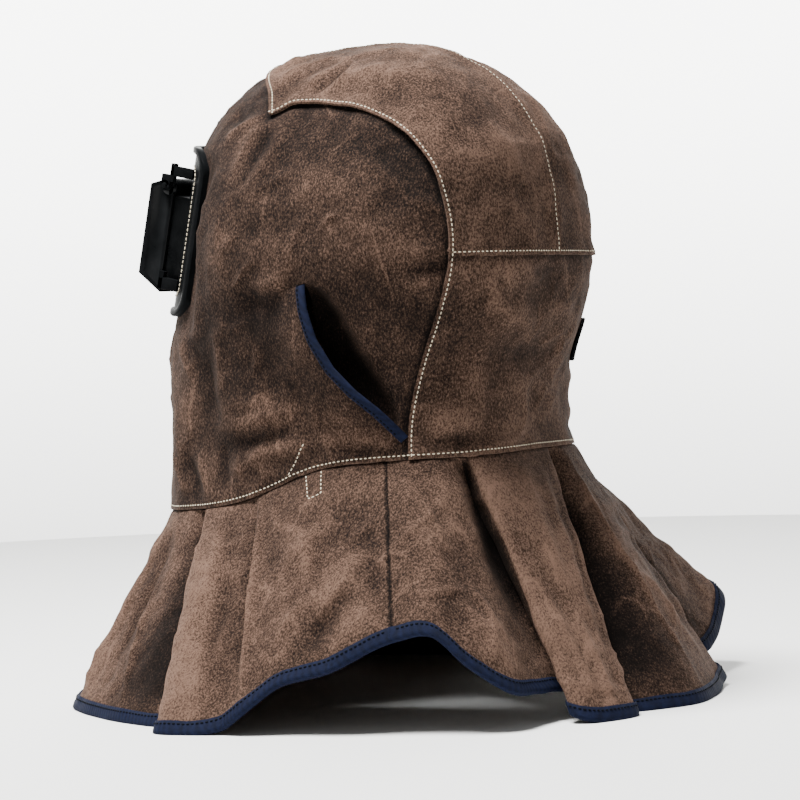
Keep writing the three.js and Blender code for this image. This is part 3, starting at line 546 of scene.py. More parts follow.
def resample(values, places, count=None, spacing=None):
    """Values picked at even distances along the line of places."""
    run = np.concatenate([[0], np.cumsum(np.linalg.norm(np.diff(places, axis=0), axis=1))])
    if count is None:
        count = max(2, int(round(run[-1] / spacing)) + 1)
    at = np.linspace(0, run[-1], count)
    return np.stack([np.interp(at, run, values[:, k]) for k in range(values.shape[1])], -1)


side_path = smooth_path(SIDE_SEAM, 260)
brow_path = smooth_path(BROW_SEAM, 120)


# Wrinkles

# A crease: widths that it reaches, gain, how steeply it falls off, and how it swells from its ends
CREASE_REACH = 3
CREASE_GAIN = 1.5
CREASE_FALL = 1.4
CREASE_ENDS = (0.04, 0.96)
CREASE_SWELL = 0.7
CREASE_POINTS = 6
RIGHT_CREASE = 0.8
# Crumples: slant of their lines, how thin these are, and how large and common their patches
CRUMPLE_SLANT = Matrix(((0.5, 0.4, -0.5), (0.6, -0.6, 0.5), (0.3, 0.9, 0.9)))
CRUMPLE_THIN = 5
CRUMPLE_PATCH = 0.8
CRUMPLE_SHARE = 0.15


def line_distance(points, line):
    """Distance of points from a broken line, and the share along it."""
    best = np.full(len(points), np.inf)
    along = np.zeros(len(points))
    for i, (a, b) in enumerate(zip(line[:-1], line[1:])):
        d = b - a
        t = np.clip(((points - a) @ d) / (d @ d), 0, 1)
        far = np.linalg.norm(points - a - t[:, None] * d, axis=1)
        near = far < best
        best[near] = far[near]
        along[near] = (i + t[near]) / (len(line) - 1)
    return best, along


def creased(points, lines):
    """Ridges and valleys along lines of (places, width, height)."""
    total = np.zeros(len(points))
    for line, wide, out in lines:
        reach = CREASE_REACH * wide
        near = np.all((points > line.min(0) - reach) & (points < line.max(0) + reach), axis=1)
        if not near.any():
            continue
        far, along = line_distance(points[near], line)
        swell_up = np.sin(math.pi * np.clip(along, *CREASE_ENDS)) ** CREASE_SWELL
        total[near] += CREASE_GAIN * out * np.exp(-((far / wide) ** CREASE_FALL)) * swell_up
    return total


def rough(points, layers, seed):
    """Soft unevenness: layers of (size, height) of noise."""
    total = np.zeros(len(points))
    for size, height in layers:
        shift = Vector((seed, size, -seed))
        total += [height * noise.noise(Vector(p) / size + shift) for p in points]
    return total


def crumpled(points, size, height, seed):
    """Thin broken ridges, as in leather that has been folded up."""
    shift = Vector((seed, -seed, seed * 2))
    total = []
    for p in points:
        place = Vector(p) / size
        line = max(0.0, 1 - CRUMPLE_THIN * abs(noise.noise(CRUMPLE_SLANT @ place + shift)))
        patch = max(0.0, noise.noise(place * CRUMPLE_PATCH - shift) + CRUMPLE_SHARE)
        total.append(height * line * line * patch)
    return np.array(total)


def head_creases():
    """Creases of both sides of the head; those on the right are lower."""
    lines = []
    t = np.linspace(0, 1, CREASE_POINTS)
    for a0, l0, a1, l1, wide, out in CREASES:
        for turn, share in ((1, 1), (-1, RIGHT_CREASE)):
            line = head_point(turn * (a0 + (a1 - a0) * t), l0 + (l1 - l0) * t)
            lines.append((line, wide, out * share))
    return lines


# Meshes

# Rounds in which a cut is found, and how near it may come to the end of a triangle's side
CUT_ROUNDS = 12
CUT_MARGIN = 0.02


def clip(chart, faces, field):
    """Cuts the triangles of a chart where field crosses zero and keeps its positive side."""
    value = field(chart)
    inside = value >= 0
    count = inside[faces].sum(1)
    kept = [tuple(f) for f in faces[count == 3]]
    edges = {}
    mixed = faces[(count > 0) & (count < 3)]
    for tri in mixed:
        for a, b in zip(tri, np.roll(tri, -1)):
            if inside[a] != inside[b]:
                edges.setdefault((min(a, b), max(a, b)), len(chart) + len(edges))
    if edges:
        pairs = np.array(list(edges))
        a, b = chart[pairs[:, 0]], chart[pairs[:, 1]]
        starts_in = inside[pairs[:, 0]]
        low, high = np.zeros(len(a)), np.ones(len(a))
        for _ in range(CUT_ROUNDS):
            t = (low + high) / 2
            same = (field(a + (b - a) * t[:, None]) >= 0) == starts_in
            low, high = np.where(same, t, low), np.where(same, high, t)
        t = np.clip((low + high) / 2, CUT_MARGIN, 1 - CUT_MARGIN)
        chart = np.concatenate([chart, a + (b - a) * t[:, None]])
    for tri in mixed:
        ring = []
        for a, b in zip(tri, np.roll(tri, -1)):
            if inside[a]:
                ring.append(a)
            if inside[a] != inside[b]:
                ring.append(edges[(min(a, b), max(a, b))])
        kept.extend((ring[0], ring[k], ring[k + 1]) for k in range(1, len(ring) - 1))
    return chart, np.array(kept, int)


def compact(chart, faces):
    """Leaves out the points that no triangle uses."""
    used, faces = np.unique(faces, return_inverse=True)
    return chart[used], faces.reshape(-1, 3)


def chart_grid(angles, levels):
    """Triangles over a grid of angles and levels."""
    a, b = np.meshgrid(angles, levels)
    chart = np.stack([a.ravel(), b.ravel()], -1)
    n = len(angles)
    corner = (np.arange(len(levels) - 1)[:, None] * n + np.arange(n - 1)).ravel()
    one = np.stack([corner, corner + 1, corner + n + 1], -1)
    two = np.stack([corner, corner + n + 1, corner + n], -1)
    return chart, np.concatenate([one, two])


def polygon_field(outline, scale):
    """Signed distance inside a closed outline on the chart; scale makes its axes millimetres."""
    ring = np.asarray(outline, float) * scale

    def field(chart):
        p = chart * scale
        best = np.full(len(p), np.inf)
        inside = np.zeros(len(p), bool)
        for a, b in zip(ring, np.roll(ring, -1, axis=0)):
            d = b - a
            t = np.clip(((p - a) @ d) / max(d @ d, 1e-9), 0, 1)
            best = np.minimum(best, np.linalg.norm(p - a - t[:, None] * d, axis=1))
            crosses = (a[1] > p[:, 1]) != (b[1] > p[:, 1])
            rise = b[1] - a[1] if abs(b[1] - a[1]) > 1e-9 else 1e-9
            inside ^= crosses & (p[:, 0] < a[0] + (p[:, 1] - a[1]) * d[0] / rise)
        return np.where(inside, best, -best)

    return field


def normals_of(points, faces):
    n = np.zeros_like(points)
    a, b, c = (points[faces[:, k]] for k in range(3))
    cross = np.cross(b - a, c - a)
    for k in range(3):
        np.add.at(n, faces[:, k], cross)
    return unit(n)


def shell(points, faces, thick):
    """A closed sheet of leather under its outer face."""
    inner = points - normals_of(points, faces) * thick
    n = len(points)
    edges = np.concatenate([faces[:, [0, 1]], faces[:, [1, 2]], faces[:, [2, 0]]])
    key = np.sort(edges, axis=1)
    _, first, count = np.unique(key, axis=0, return_index=True, return_counts=True)
    rim = edges[first[count == 1]]
    walls = np.stack([rim[:, 1], rim[:, 0], rim[:, 0] + n, rim[:, 1] + n], -1)
    outer, under = [tuple(f) for f in faces], [tuple(f[::-1] + n) for f in faces]
    return np.concatenate([points, inner]), outer + under + [tuple(f) for f in walls]


def grid_faces(rows, cols, ring_rows=False, ring_cols=False):
    """Quads over a grid of points held row by row."""
    faces = []
    for j in range(rows if ring_rows else rows - 1):
        for i in range(cols if ring_cols else cols - 1):
            a, b = j * cols + i, j * cols + (i + 1) % cols
            up = ((j + 1) % rows - j) * cols
            faces.append((a, b, b + up, a + up))
    return faces


def band_faces(rows, cols):
    """Quads round a folded band, with its two ends closed."""
    faces = grid_faces(rows, cols, ring_rows=True)
    first = [j * cols for j in range(rows)]
    last = [j * cols + cols - 1 for j in range(rows)][::-1]
    for end in (first, last):
        faces.extend(
            (end[k], end[rows - 1 - k], end[rows - 2 - k], end[k + 1]) for k in range(rows // 2 - 1)
        )
    return faces


def link_object(name, data):
    obj = bpy.data.objects.new(name, data)
    bpy.context.scene.collection.objects.link(obj)
    return obj


def smooth_object(name, mesh, material, sharp):
    """An object shaded smooth, apart from edges sharper than an angle in degrees."""
    mesh.polygons.foreach_set("use_smooth", [True] * len(mesh.polygons))
    mesh.set_sharp_from_angle(angle=math.radians(sharp))
    mesh.materials.append(material)
    return link_object(name, mesh)


def mesh_object(name, points, faces, material, sharp=40, nap=None):
    """A smooth mesh object from points in millimetres."""
    mesh = bpy.data.meshes.new(name)
    mesh.from_pydata((np.asarray(points) * MM).tolist(), [], [tuple(int(v) for v in f) for f in faces])
    mesh.validate()
    if nap is not None:
        layer = mesh.attributes.new("nap", "FLOAT", "POINT")
        layer.data.foreach_set("value", np.asarray(nap, np.float32))
    return smooth_object(name, mesh, material, sharp)


def sew(obj, body, slot, *nodes):
    """Puts a piece on its body and in the place of its CAD nodes; slot is not used."""
    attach(obj, body)
    if nodes:
        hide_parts(*nodes)
    return obj


# Materials


def rgba(colour):
    return (*colour, 1.0)


def add_node(material, kind, inputs=None, stops=(), **settings):
    """Adds one shader node with its settings, colour stops, values and links."""
    node = material.node_tree.nodes.new(kind)
    for name, value in settings.items():
        setattr(node, name, value)
    if stops:
        ramp = node.color_ramp.elements
        for end, (position, colour) in ((ramp[0], stops[0]), (ramp[1], stops[-1])):
            end.position, end.color = position, rgba(colour)
        for position, colour in stops[1:-1]:
            ramp.new(position).color = rgba(colour)
    for name, value in (inputs or {}).items():
        if isinstance(value, bpy.types.NodeSocket):
            material.node_tree.links.new(value, node.inputs[name])
        else:
            node.inputs[name].default_value = value
    return node


def made_once(name, draw):
    """The material of a name; on its first use, draw adds the nodes and gives the shader's inputs."""
    material = bpy.data.materials.get(name)
    if material is None:
        material = bpy.data.materials.new(name)
        material.use_nodes = True
        material.node_tree.nodes.clear()
        shader = add_node(material, "ShaderNodeBsdfPrincipled", draw(partial(add_node, material)))
        add_node(material, "ShaderNodeOutputMaterial", {"Surface": shader.outputs[0]})
    return material


def per_mm(size):
    """Texture scale for features of a size in millimetres."""
    return 1 / (size * MM)


def shaded(colour, share):
    """A colour with that share of its light; a share over 1 makes it lighter."""
    return [c * share for c in colour]


def pale_fold_lines(node, place, patches):
    """Thin broken lines that lighten the suede, mostly upright and only in patches."""
    drawn = node(
        "ShaderNodeMapping",
        {"Vector": place, "Rotation": (0.3, 0.35, 0.0), "Scale": (1.0, 1.0, 0.32)},
    ).outputs[0]
    folds = node(
        "ShaderNodeTexNoise",
        {"Vector": drawn, "Scale": per_mm(30), "Detail": 0.6, "Roughness": 0.4},
    ).outputs["Fac"]
    off = node("ShaderNodeMath", {0: folds, 1: 0.5}, operation="SUBTRACT").outputs[0]
    off = node("ShaderNodeMath", {0: off}, operation="ABSOLUTE").outputs[0]
    line = node(
        "ShaderNodeMapRange",
        {"Value": off, "From Min": 0.0, "From Max": 0.03, "To Min": 1.0, "To Max": 0.0},
        interpolation_type="SMOOTHSTEP",
    ).outputs[0]
    where = node("ShaderNodeMapRange", {"Value": patches, "From Min": 0.48, "From Max": 0.62}).outputs[0]
    return node("ShaderNodeMath", {0: line, 1: where}, operation="MULTIPLY").outputs[0]


# How much the tone from the nap attribute (rubbed wear with painted light and shade), its tufts, flecks and
# strokes and the pale fold lines count in the suede's shade
TONE_WEIGHT = 0.11
TUFT_WEIGHT = 2.0
FLECK_WEIGHT = 0.35
STROKE_WEIGHT = 0.4
FOLD_WEIGHT = 0.2


def suede():
    """Split cowhide suede: brushed nap that lies in lighter and darker strokes, with matt fibres."""

    def draw(node):
        place = node("ShaderNodeTexCoord").outputs["Object"]
        # The nap is brushed one way, so its marks are longer than they are wide
        brushed = node(
            "ShaderNodeMapping",
            {"Vector": place, "Rotation": (0.75, -0.5, 0.4), "Scale": (1.0, 1.0, 0.6)},
        ).outputs[0]
        # Single fibres are finer than 1.1 mm; they are drawn in tufts that show
        tufts, flecks, strokes = (
            node(
                "ShaderNodeTexNoise",
                {"Vector": vector, "Scale": per_mm(size), "Detail": detail, "Roughness": roughness},
            ).outputs["Fac"]
            for vector, size, detail, roughness in (
                (brushed, 1.1, 3.0, 0.75),
                (brushed, 9, 3.0, 0.55),
                (place, 46, 4.0, 0.5),
            )
        )
        # The nap attribute holds rubbed wear together with painted light and shade
        tone = node("ShaderNodeAttribute", attribute_name="nap").outputs["Fac"]
        shade = node("ShaderNodeMath", {0: tone, 1: TONE_WEIGHT, 2: 0.5}, operation="MULTIPLY_ADD").outputs[0]
        for marks, weight in ((tufts, TUFT_WEIGHT), (flecks, FLECK_WEIGHT), (strokes, STROKE_WEIGHT)):
            centred = node("ShaderNodeMath", {0: marks, 1: 0.5}, operation="SUBTRACT")
            shade = node(
                "ShaderNodeMath",
                {0: centred.outputs[0], 1: weight, 2: shade},
                operation="MULTIPLY_ADD",
            ).outputs[0]
        folds = pale_fold_lines(node, place, strokes)
        shade = node(
            "ShaderNodeMath", {0: folds, 1: FOLD_WEIGHT, 2: shade}, operation="MULTIPLY_ADD"
        ).outputs[0]
        dark, middle, worn_and_lit = colours().suede_dark, colours().suede, colours().suede_worn_and_lit
        # Low shades give painted shade, and high shades give rubbed wear and painted light
        stops = [(0, shaded(dark, 0.2)), (0.25, dark), (0.5, middle), (0.75, worn_and_lit), (1, shaded(worn_and_lit, 1.5))]
        ramp = node("ShaderNodeValToRGB", {"Fac": shade}, stops)
        fine = node("ShaderNodeBump", {"Height": tufts, "Strength": 0.55, "Distance": 0.9 * MM})
        coarse = node(
            "ShaderNodeBump",
            {"Height": flecks, "Strength": 0.35, "Distance": 1.2 * MM, "Normal": fine.outputs[0]},
        )
        return {
            "Base Color": ramp.outputs["Color"],
            "Roughness": 0.95,
            "Specular IOR Level": 0.1,
            "Sheen Weight": 0.04,
            "Sheen Roughness": 0.45,
            "Sheen Tint": rgba(linear("#b49a8b")),
            "Normal": coarse.outputs[0],
        }

    return made_once("brown split cowhide suede", draw)


def binding_tape():
    """Navy cotton twill tape: close diagonal ribs, matt."""

    def draw(node):
        place = node("ShaderNodeTexCoord").outputs["Object"]
        # Twill ribs of 0.5 mm are drawn at 1.1 mm so that they show
        ribs = node(
            "ShaderNodeTexWave",
            {"Vector": place, "Scale": per_mm(1.1) / math.tau, "Distortion": 1.5, "Detail": 2.0},
            bands_direction="DIAGONAL",
        ).outputs["Fac"]
        dust = node(
            "ShaderNodeTexNoise",
            {"Vector": place, "Scale": per_mm(2.4), "Detail": 4.0, "Roughness": 0.7},
        ).outputs["Fac"]
        blend = node("ShaderNodeMath", {0: ribs, 1: 0.25, 2: dust}, operation="MULTIPLY_ADD")
        stops = [(0.35, linear("#090d1c")), (0.85, colours().tape)]
        ramp = node("ShaderNodeValToRGB", {"Fac": blend.outputs[0]}, stops)
        bump = node("ShaderNodeBump", {"Height": ribs, "Strength": 0.4, "Distance": 0.3 * MM})
        return {
            "Base Color": ramp.outputs["Color"],
            "Roughness": 0.85,
            "Specular IOR Level": 0.1,
            "Normal": bump.outputs[0],
        }

    return made_once("navy cotton twill tape", draw)


def sewing_thread(name, colour):
    """Twisted polyester thread: fine twist across each stitch, slight gloss."""

    def draw(node):
        place = node("ShaderNodeTexCoord").outputs["Object"]
        twist = node("ShaderNodeTexNoise", {"Vector": place, "Scale": per_mm(0.9), "Detail": 2.0})
        stops = [(0.25, shaded(colour, 0.55)), (0.6, colour)]
        ramp = node("ShaderNodeValToRGB", {"Fac": twist.outputs["Fac"]}, stops)
        return {"Base Color": ramp.outputs["Color"], "Roughness": 0.8, "Specular IOR Level": 0.08}

    return made_once(name, draw)


def off_white_thread():
    return sewing_thread("off-white polyester thread", tuple(colours().thread))


def moulded_plastic(name, gloss, rough_skin):
    """Black injection-moulded nylon: matt or satin skin with a fine spark grain."""

    def draw(node):
        place = node("ShaderNodeTexCoord").outputs["Object"]
        # Spark grain of 0.2 mm is drawn at 0.7 mm so that it shows
        grain, scuffs = (
            node(
                "ShaderNodeTexNoise", {"Vector": place, "Scale": per_mm(size), "Detail": detail}
            ).outputs["Fac"]
            for size, detail in ((0.7, 2.0), (14, 6.0))
        )
        skin = node(
            "ShaderNodeMapRange",
            {
                "Value": scuffs,
                "From Min": 0.3,
                "From Max": 0.7,
                "To Min": rough_skin,
                "To Max": rough_skin * 1.5,
            },
        )
        stops = [(0.35, colours().plastic), (0.8, linear("#131415"))]
        ramp = node("ShaderNodeValToRGB", {"Fac": scuffs}, stops)
        bump = node("ShaderNodeBump", {"Height": grain, "Strength": 0.15, "Distance": 0.2 * MM})
        return {
            "Base Color": ramp.outputs["Color"],
            "Roughness": skin.outputs[0],
            "Specular IOR Level": gloss,
            "Normal": bump.outputs[0],
        }

    return made_once(name, draw)


def lens_glass(name, colour, clear):
    """Flat welding glass: polished, with faint dust."""

    def draw(node):
        place = node("ShaderNodeTexCoord").outputs["Object"]
        dust = node("ShaderNodeTexNoise", {"Vector": place, "Scale": per_mm(6), "Detail": 6.0})
        haze = node(
            "ShaderNodeMapRange",
            {"Value": dust.outputs["Fac"], "From Min": 0.4, "From Max": 0.8, "To Min": 0.04, "To Max": 0.16},
        )
        return {
            "Base Color": rgba(colour),
            "Roughness": haze.outputs[0],
            "IOR": 1.52,
            "Transmission Weight": clear,
        }

    return made_once(name, draw)


def webbing():
    """Black polypropylene webbing: raised weft ribs across the strap."""

    def draw(node):
        place = node("ShaderNodeTexCoord").outputs["Object"]
        ribs = node(
            "ShaderNodeTexWave",
            {"Vector": place, "Scale": per_mm(2.0) / math.tau, "Distortion": 0.6},
            bands_direction="Z",
        ).outputs["Fac"]
        stops = [(0.0, linear("#08090a")), (1.0, linear("#15161a"))]
        ramp = node("ShaderNodeValToRGB", {"Fac": ribs}, stops)
        bump = node("ShaderNodeBump", {"Height": ribs, "Strength": 0.5, "Distance": 0.4 * MM})
        return {
            "Base Color": ramp.outputs["Color"],
            "Roughness": 0.8,
            "Specular IOR Level": 0.05,
            "Normal": bump.outputs[0],
        }

    return made_once("black polypropylene webbing", draw)


# Ear vents

vent_chart = np.array([(math.radians(a) * VENT_CHART, z) for a, z in VENT_EDGE])
VENT_SHARES = np.linspace(0, 1, 41)
TAPE_SHARES = np.linspace(0, 1, 91)


def vent_place(angle, z):
    """Distance from the lip's edge, share along it, and the side: positive on the lip."""
    p = np.stack([np.radians(fold180(angle)) * VENT_CHART, np.asarray(z, float)], -1)
    best = np.full(p.shape[:-1], np.inf)
    along = np.zeros_like(best)
    side = np.zeros_like(best)
    for i, (a, b) in enumerate(zip(vent_chart[:-1], vent_chart[1:])):
        d = b - a
        t = np.clip(((p - a) @ d) / (d @ d), 0, 1)
        off = p - a - t[..., None] * d
        far = np.linalg.norm(off, axis=-1)
        near = far < best
        best = np.where(near, far, best)
        along = np.where(near, (i + t) / (len(vent_chart) - 1), along)
        side = np.where(near, np.sign(d[1] * off[..., 0] - d[0] * off[..., 1]), side)
    return best, along, side


def swell(along):
    return np.sin(math.pi * np.clip(along, 0, 1)) ** LIP_ROUND


def vent_spread(along):
    return VENT_SPREAD_TIP + (VENT_SPREAD_SEAM - VENT_SPREAD_TIP) * along


def sink_at(angle, level):
    far, along, _ = vent_place(angle, level)
    deep = np.sin(math.pi * np.clip(along, 0, 1) ** HOLLOW_LEAN) ** HOLLOW_ROUND
    reach = np.maximum(VENT_HOLLOW * deep, 1.0)
    return -VENT_SINK * deep * fade(np.maximum(far / reach - VENT_FLAT, 0) / (1 - VENT_FLAT))


def lip_height(along, far):
    """How far the lip of a vent stands off the head, a distance in from its edge."""
    return VENT_LIFT * swell(along) * fade(far / vent_spread(along))


def lift_at(angle, level):
    far, along, side = vent_place(angle, level)
    return lip_height(along, np.where(side < 0, 0, far))


def vent_offset(distance, shares):
    """The vent edge moved over its lip, at shares of its length, as chart points (angle, height)."""
    last = len(vent_chart) - 1
    t = shares * last
    i = np.minimum(last - 1, t.astype(int))
    before, after = vent_chart[np.maximum(0, i - 1)], vent_chart[np.minimum(last, i + 2)]
    place = vent_chart[i] + (vent_chart[i + 1] - vent_chart[i]) * (t - i)[:, None]
    across = np.stack([after[:, 1] - before[:, 1], before[:, 0] - after[:, 0]], -1)
    place = place + unit(across) * np.reshape(distance, (-1, 1))
    return np.stack([np.degrees(place[:, 0] / VENT_CHART), place[:, 1]], -1)


# Head panels

# Share of a full lap at the neck seam, and how far a panel runs on under the one that laps it
NECK_LAP = 0.2
UNDER_LAP = 3.0
# Reach of a lap, of its pucker and of its rubbed edge, and the light of that edge
LAP_REACH = 13.0
PUCKER_REACH = 11.0
RUB_REACH = 3.5
RUB_LIGHT = 1.1
# Beside a lap, the leather below it sinks, is darkened with painted shade and puckers less
SINK_REACH = 6.0
SINK_DEEP = 0.9
SHADE_REACH = 4.5
SHADE_DARK = 2.6
UNDER_PUCKER = 0.7
# Wrinkles as sizes and heights of noise, crumples with a shift of the seed, and how they calm down
HEAD_ROUGH = [(70, 1.8), (32, 1.7), (15, 0.95), (7.5, 0.35)]
HEAD_CRUMPLES = [(46, 3.0, 0), (27, 2.0, 5)]
PUCKER_ROUGH = [(9, 0.55)]
PUCKER_SEED = 3
PUCKER_CALM = 0.35
VENT_CALM = 12.0
# Nap: lighter on ridges where the suede is rubbed, with painted shade in valleys and in the vent hollows
RIDGE_LIGHT = 0.75
RIDGE_ENDS = (-1.4, 2.0)
HOLLOW_PAINTED_SHADE = 0.2
# Seed of each panel's wrinkles, and its painted light: lighter above 0, painted shade below 0
FACE_SEED, FACE_PAINTED_LIGHT = 1.7, -1.3
BACK_SEED, BACK_PAINTED_LIGHT = 4.1, 0.25
CROWN_SEED, CROWN_PAINTED_LIGHT = 6.3, 0.45
# Angles and levels that the panels' charts cover
FACE_TURN = 146
FACE_LEVELS = (118, 452)
BACK_ANGLES = (126, 234)
BACK_LOW = 140
CROWN_FINE = 466
CROWN_LAST = [470, 476, 482, 486.5, 489.4]
CHART_TURN = 1.25
TOP_GAP = 0.2
WELD = 0.02


def seam_points(path, turn=1):
    return head_point(turn * path[:, 0], path[:, 1])


def near_tree(points):
    tree = KDTree(len(points))
    for i, p in enumerate(points):
        tree.insert(p, i)
    tree.balance()
    return tree


def distances(points, tree):
    return np.array([tree.find(p)[2] for p in points])


def upper_outline():
    """Outline of the crown and back panels on the left half of the chart, run on past its edges."""
    before, after, low, high = -20, 200, 60, CROWN_TOP + 30
    edge = np.concatenate([side_path, brow_path[1:]])
    first, last = edge[0][0], edge[-1][1]
    return np.concatenate([edge, [(before, last), (before, high), (after, high), (after, low), (first, low)]])


CHART_SCALE = np.array([math.radians(1) * VENT_CHART, 1.0])
upper_field = polygon_field(upper_outline(), CHART_SCALE)


def folded(chart):
    return np.stack([fold180(chart[:, 0]), chart[:, 1]], -1)


def above_neck(chart):
    return chart[:, 1] - neck_at(chart[:, 0])


def beyond_window(chart):
    """Distance outside the window of the face panel; the back of the head counts as far outside."""
    p = to_lens(head_point(chart[:, 0], chart[:, 1]))
    middle = (FACE_HOLE["low"] + FACE_HOLE["high"]) / 2
    tall = (FACE_HOLE["high"] - FACE_HOLE["low"]) / 2
    out = np.maximum(np.abs(p[:, 0]) - FACE_HOLE["half"], np.abs(p[:, 2] - middle) - tall)
    return np.where(p[:, 1] > PLATE_REACH, p[:, 1], out)


def head_surface(chart, vent, lap_lines, under_lines, seed, tone):
    """Outer points of a head panel, with its laps, wrinkles and nap, which carries rubbed wear and painted
    light and shade; tone is the painted light of the whole panel.
    """
    angle, level = chart[:, 0], chart[:, 1]
    vent = np.broadcast_to(vent, angle.shape)
    flat = head_point(angle, level)
    lift, pucker, rubbed_and_shaded = np.zeros((3, len(chart)))
    for line, share in lap_lines:
        far = distances(flat, near_tree(line))
        lift = np.maximum(lift, share * in_mm(sizes().lap) * fade(far / LAP_REACH))
        pucker = np.maximum(pucker, fade(far / PUCKER_REACH))
        rubbed_and_shaded = np.maximum(rubbed_and_shaded, RUB_LIGHT * fade(far / RUB_REACH))
    for line in under_lines:
        far = distances(flat, near_tree(line))
        lift -= SINK_DEEP * fade(far / SINK_REACH)
        # Painted shade beside a lapped edge, where its shadow falls
        rubbed_and_shaded -= SHADE_DARK * fade(far / SHADE_REACH)
        pucker = np.maximum(pucker, UNDER_PUCKER * fade(far / PUCKER_REACH))
    behind = to_lens(flat)
    clear = np.where(behind[:, 1] > PLATE_REACH, 1, np.clip(beyond_plate(behind) / SEAT_FADE, 0, 1))
    wrinkle = creased(flat, head_creases()) + rough(flat, HEAD_ROUGH, seed)
    wrinkle += sum(crumpled(flat, size, height, seed + shift) for size, height, shift in HEAD_CRUMPLES)
    edge, _, _ = vent_place(angle, level)
    clear = clear * np.clip((edge - VENT_TAPE) / VENT_CALM, 0, 1)
    wrinkle = wrinkle * clear * (1 - PUCKER_CALM * pucker)
    wrinkle += pucker * rough(flat, PUCKER_ROUGH, seed + PUCKER_SEED)
    points = head_point(angle, level, vent + lift + wrinkle)
    # Ridges lighten as rubbed wear; valleys and the vent hollows get painted shade
    ridges = np.clip(wrinkle * RIDGE_LIGHT, *RIDGE_ENDS)
    return points, ridges + rubbed_and_shaded + np.minimum(vent, 0) * HOLLOW_PAINTED_SHADE + tone


def grid_angles(low, high):
    return np.linspace(low, high, int(round((high - low) / CHART_TURN)) + 1)


def face_sheet():
    """The face panel: the leather round the head, and the lifted lips of its vents."""
    levels = np.arange(*FACE_LEVELS, in_mm(sizes().grid))
    chart, faces = chart_grid(grid_angles(-FACE_TURN, FACE_TURN), levels)
    for field in (lambda c: UNDER_LAP - upper_field(folded(c)), above_neck, beyond_window):
        chart, faces = clip(chart, faces, field)
    far_edge = vent_offset(vent_spread(VENT_SHARES), VENT_SHARES)[::-1]
    lip = polygon_field(np.concatenate([vent_offset(0.0, VENT_SHARES), far_edge]), CHART_SCALE)
    under = vent_offset(VENT_UNDER * np.sin(math.pi * VENT_SHARES) ** CUT_ROUND, VENT_SHARES)
    lost = polygon_field(np.concatenate([under, far_edge]), CHART_SCALE)
    return [
        (*compact(*clip(chart, faces, lambda c: -lost(folded(c)))), sink_at),
        (*compact(*clip(chart, faces, lambda c: lip(folded(c)))), lift_at),
    ]


def seam_lines():
    """Where the head's seams run, in space."""
    # The centre seam stops just short of the top, where all angles meet
    top = CROWN_TOP - TOP_GAP
    neck_angles = np.linspace(-180, 180, 721)
    over = [
        head_point(0, np.linspace(brow_path[-1][1], top, 90)),
        head_point(180, np.linspace(top, SEAM_LEVEL, 150)),
    ]
    return {
        "side": [seam_points(side_path, turn) for turn in (1, -1)],
        "brow": [seam_points(brow_path, turn) for turn in (1, -1)],
        "back": head_point(np.linspace(140, 220, 160), SEAM_LEVEL),
        "centre": np.concatenate(over),
        "neck": head_point(neck_angles, neck_at(neck_angles)),
    }


class HOOD_OT_head_panels(bpy.types.Operator):
    """Cuts and shapes the suede panels of the head"""

    bl_idname = "hood.head_panels"
    bl_label = "Head panels"

    def execute(self, context):
        seams = seam_lines()
        edges = [*seams["side"], *seams["brow"]]
        neck = (seams["neck"], NECK_LAP)
        self.face(neck, edges)

        levels = np.arange(BACK_LOW, SEAM_LEVEL + UNDER_LAP, in_mm(sizes().grid))
        chart, tris = chart_grid(grid_angles(*BACK_ANGLES), levels)
        chart, tris = clip(chart, tris, lambda c: upper_field(folded(c)))
        chart, tris = compact(*clip(chart, tris, above_neck))
        laps = [neck, *[(line, 1) for line in seams["side"]]]
        made, nap = head_surface(chart, 0.0, laps, [seams["back"]], BACK_SEED, BACK_PAINTED_LIGHT)
        self.panel("back_suede", "back_panel", made, tris, nap)

        levels = np.concatenate([np.arange(SEAM_LEVEL, CROWN_FINE, in_mm(sizes().grid)), CROWN_LAST])
        edges.append(seams["back"])
        middle = [seams["centre"]]
        for side, turn, over, under in (("left", 1, middle, []), ("right", -1, [], middle)):
            chart, tris = chart_grid(grid_angles(0, 180), levels)
            chart, tris = compact(*clip(chart, tris, upper_field))
            chart[:, 0] *= turn
            laps = [(line, 1) for line in edges + over]
            made, nap = head_surface(chart, 0.0, laps, under, CROWN_SEED + turn, CROWN_PAINTED_LIGHT)
            self.panel(f"crown_suede_{side}", f"crown_panel_{side}", made, tris[:, ::turn], nap)
        return {"FINISHED"}

    def face(self, neck, edges):
        """The two sheets of the face panel, joined where their points meet."""
        points, faces, naps, total = [], [], [], 0
        for chart, tris, vent in face_sheet():
            made, nap = head_surface(chart, vent(chart[:, 0], chart[:, 1]), [neck], edges, FACE_SEED, FACE_PAINTED_LIGHT)
            points.append(made)
            naps.append(nap)
            faces.append(tris + total)
            total += len(made)
        points, faces, naps = np.concatenate(points), np.concatenate(faces), np.concatenate(naps)
        keys = np.round(points / WELD).astype(np.int64)
        _, first, where = np.unique(keys, axis=0, return_index=True, return_inverse=True)
        points, naps, faces = points[first], naps[first], where.ravel()[faces]
        whole = np.all(faces != np.roll(faces, -1, axis=1), axis=1)
        self.panel("face_suede", "face_panel", points, faces[whole], naps)

    def panel(self, name, node, points, faces, nap):
        made, polygons = shell(points, faces, in_mm(sizes().leather))
        obj = mesh_object(name, made, polygons, suede(), nap=np.concatenate([nap, nap]))
        sew(obj, "hood", "suede", node)


# Cape


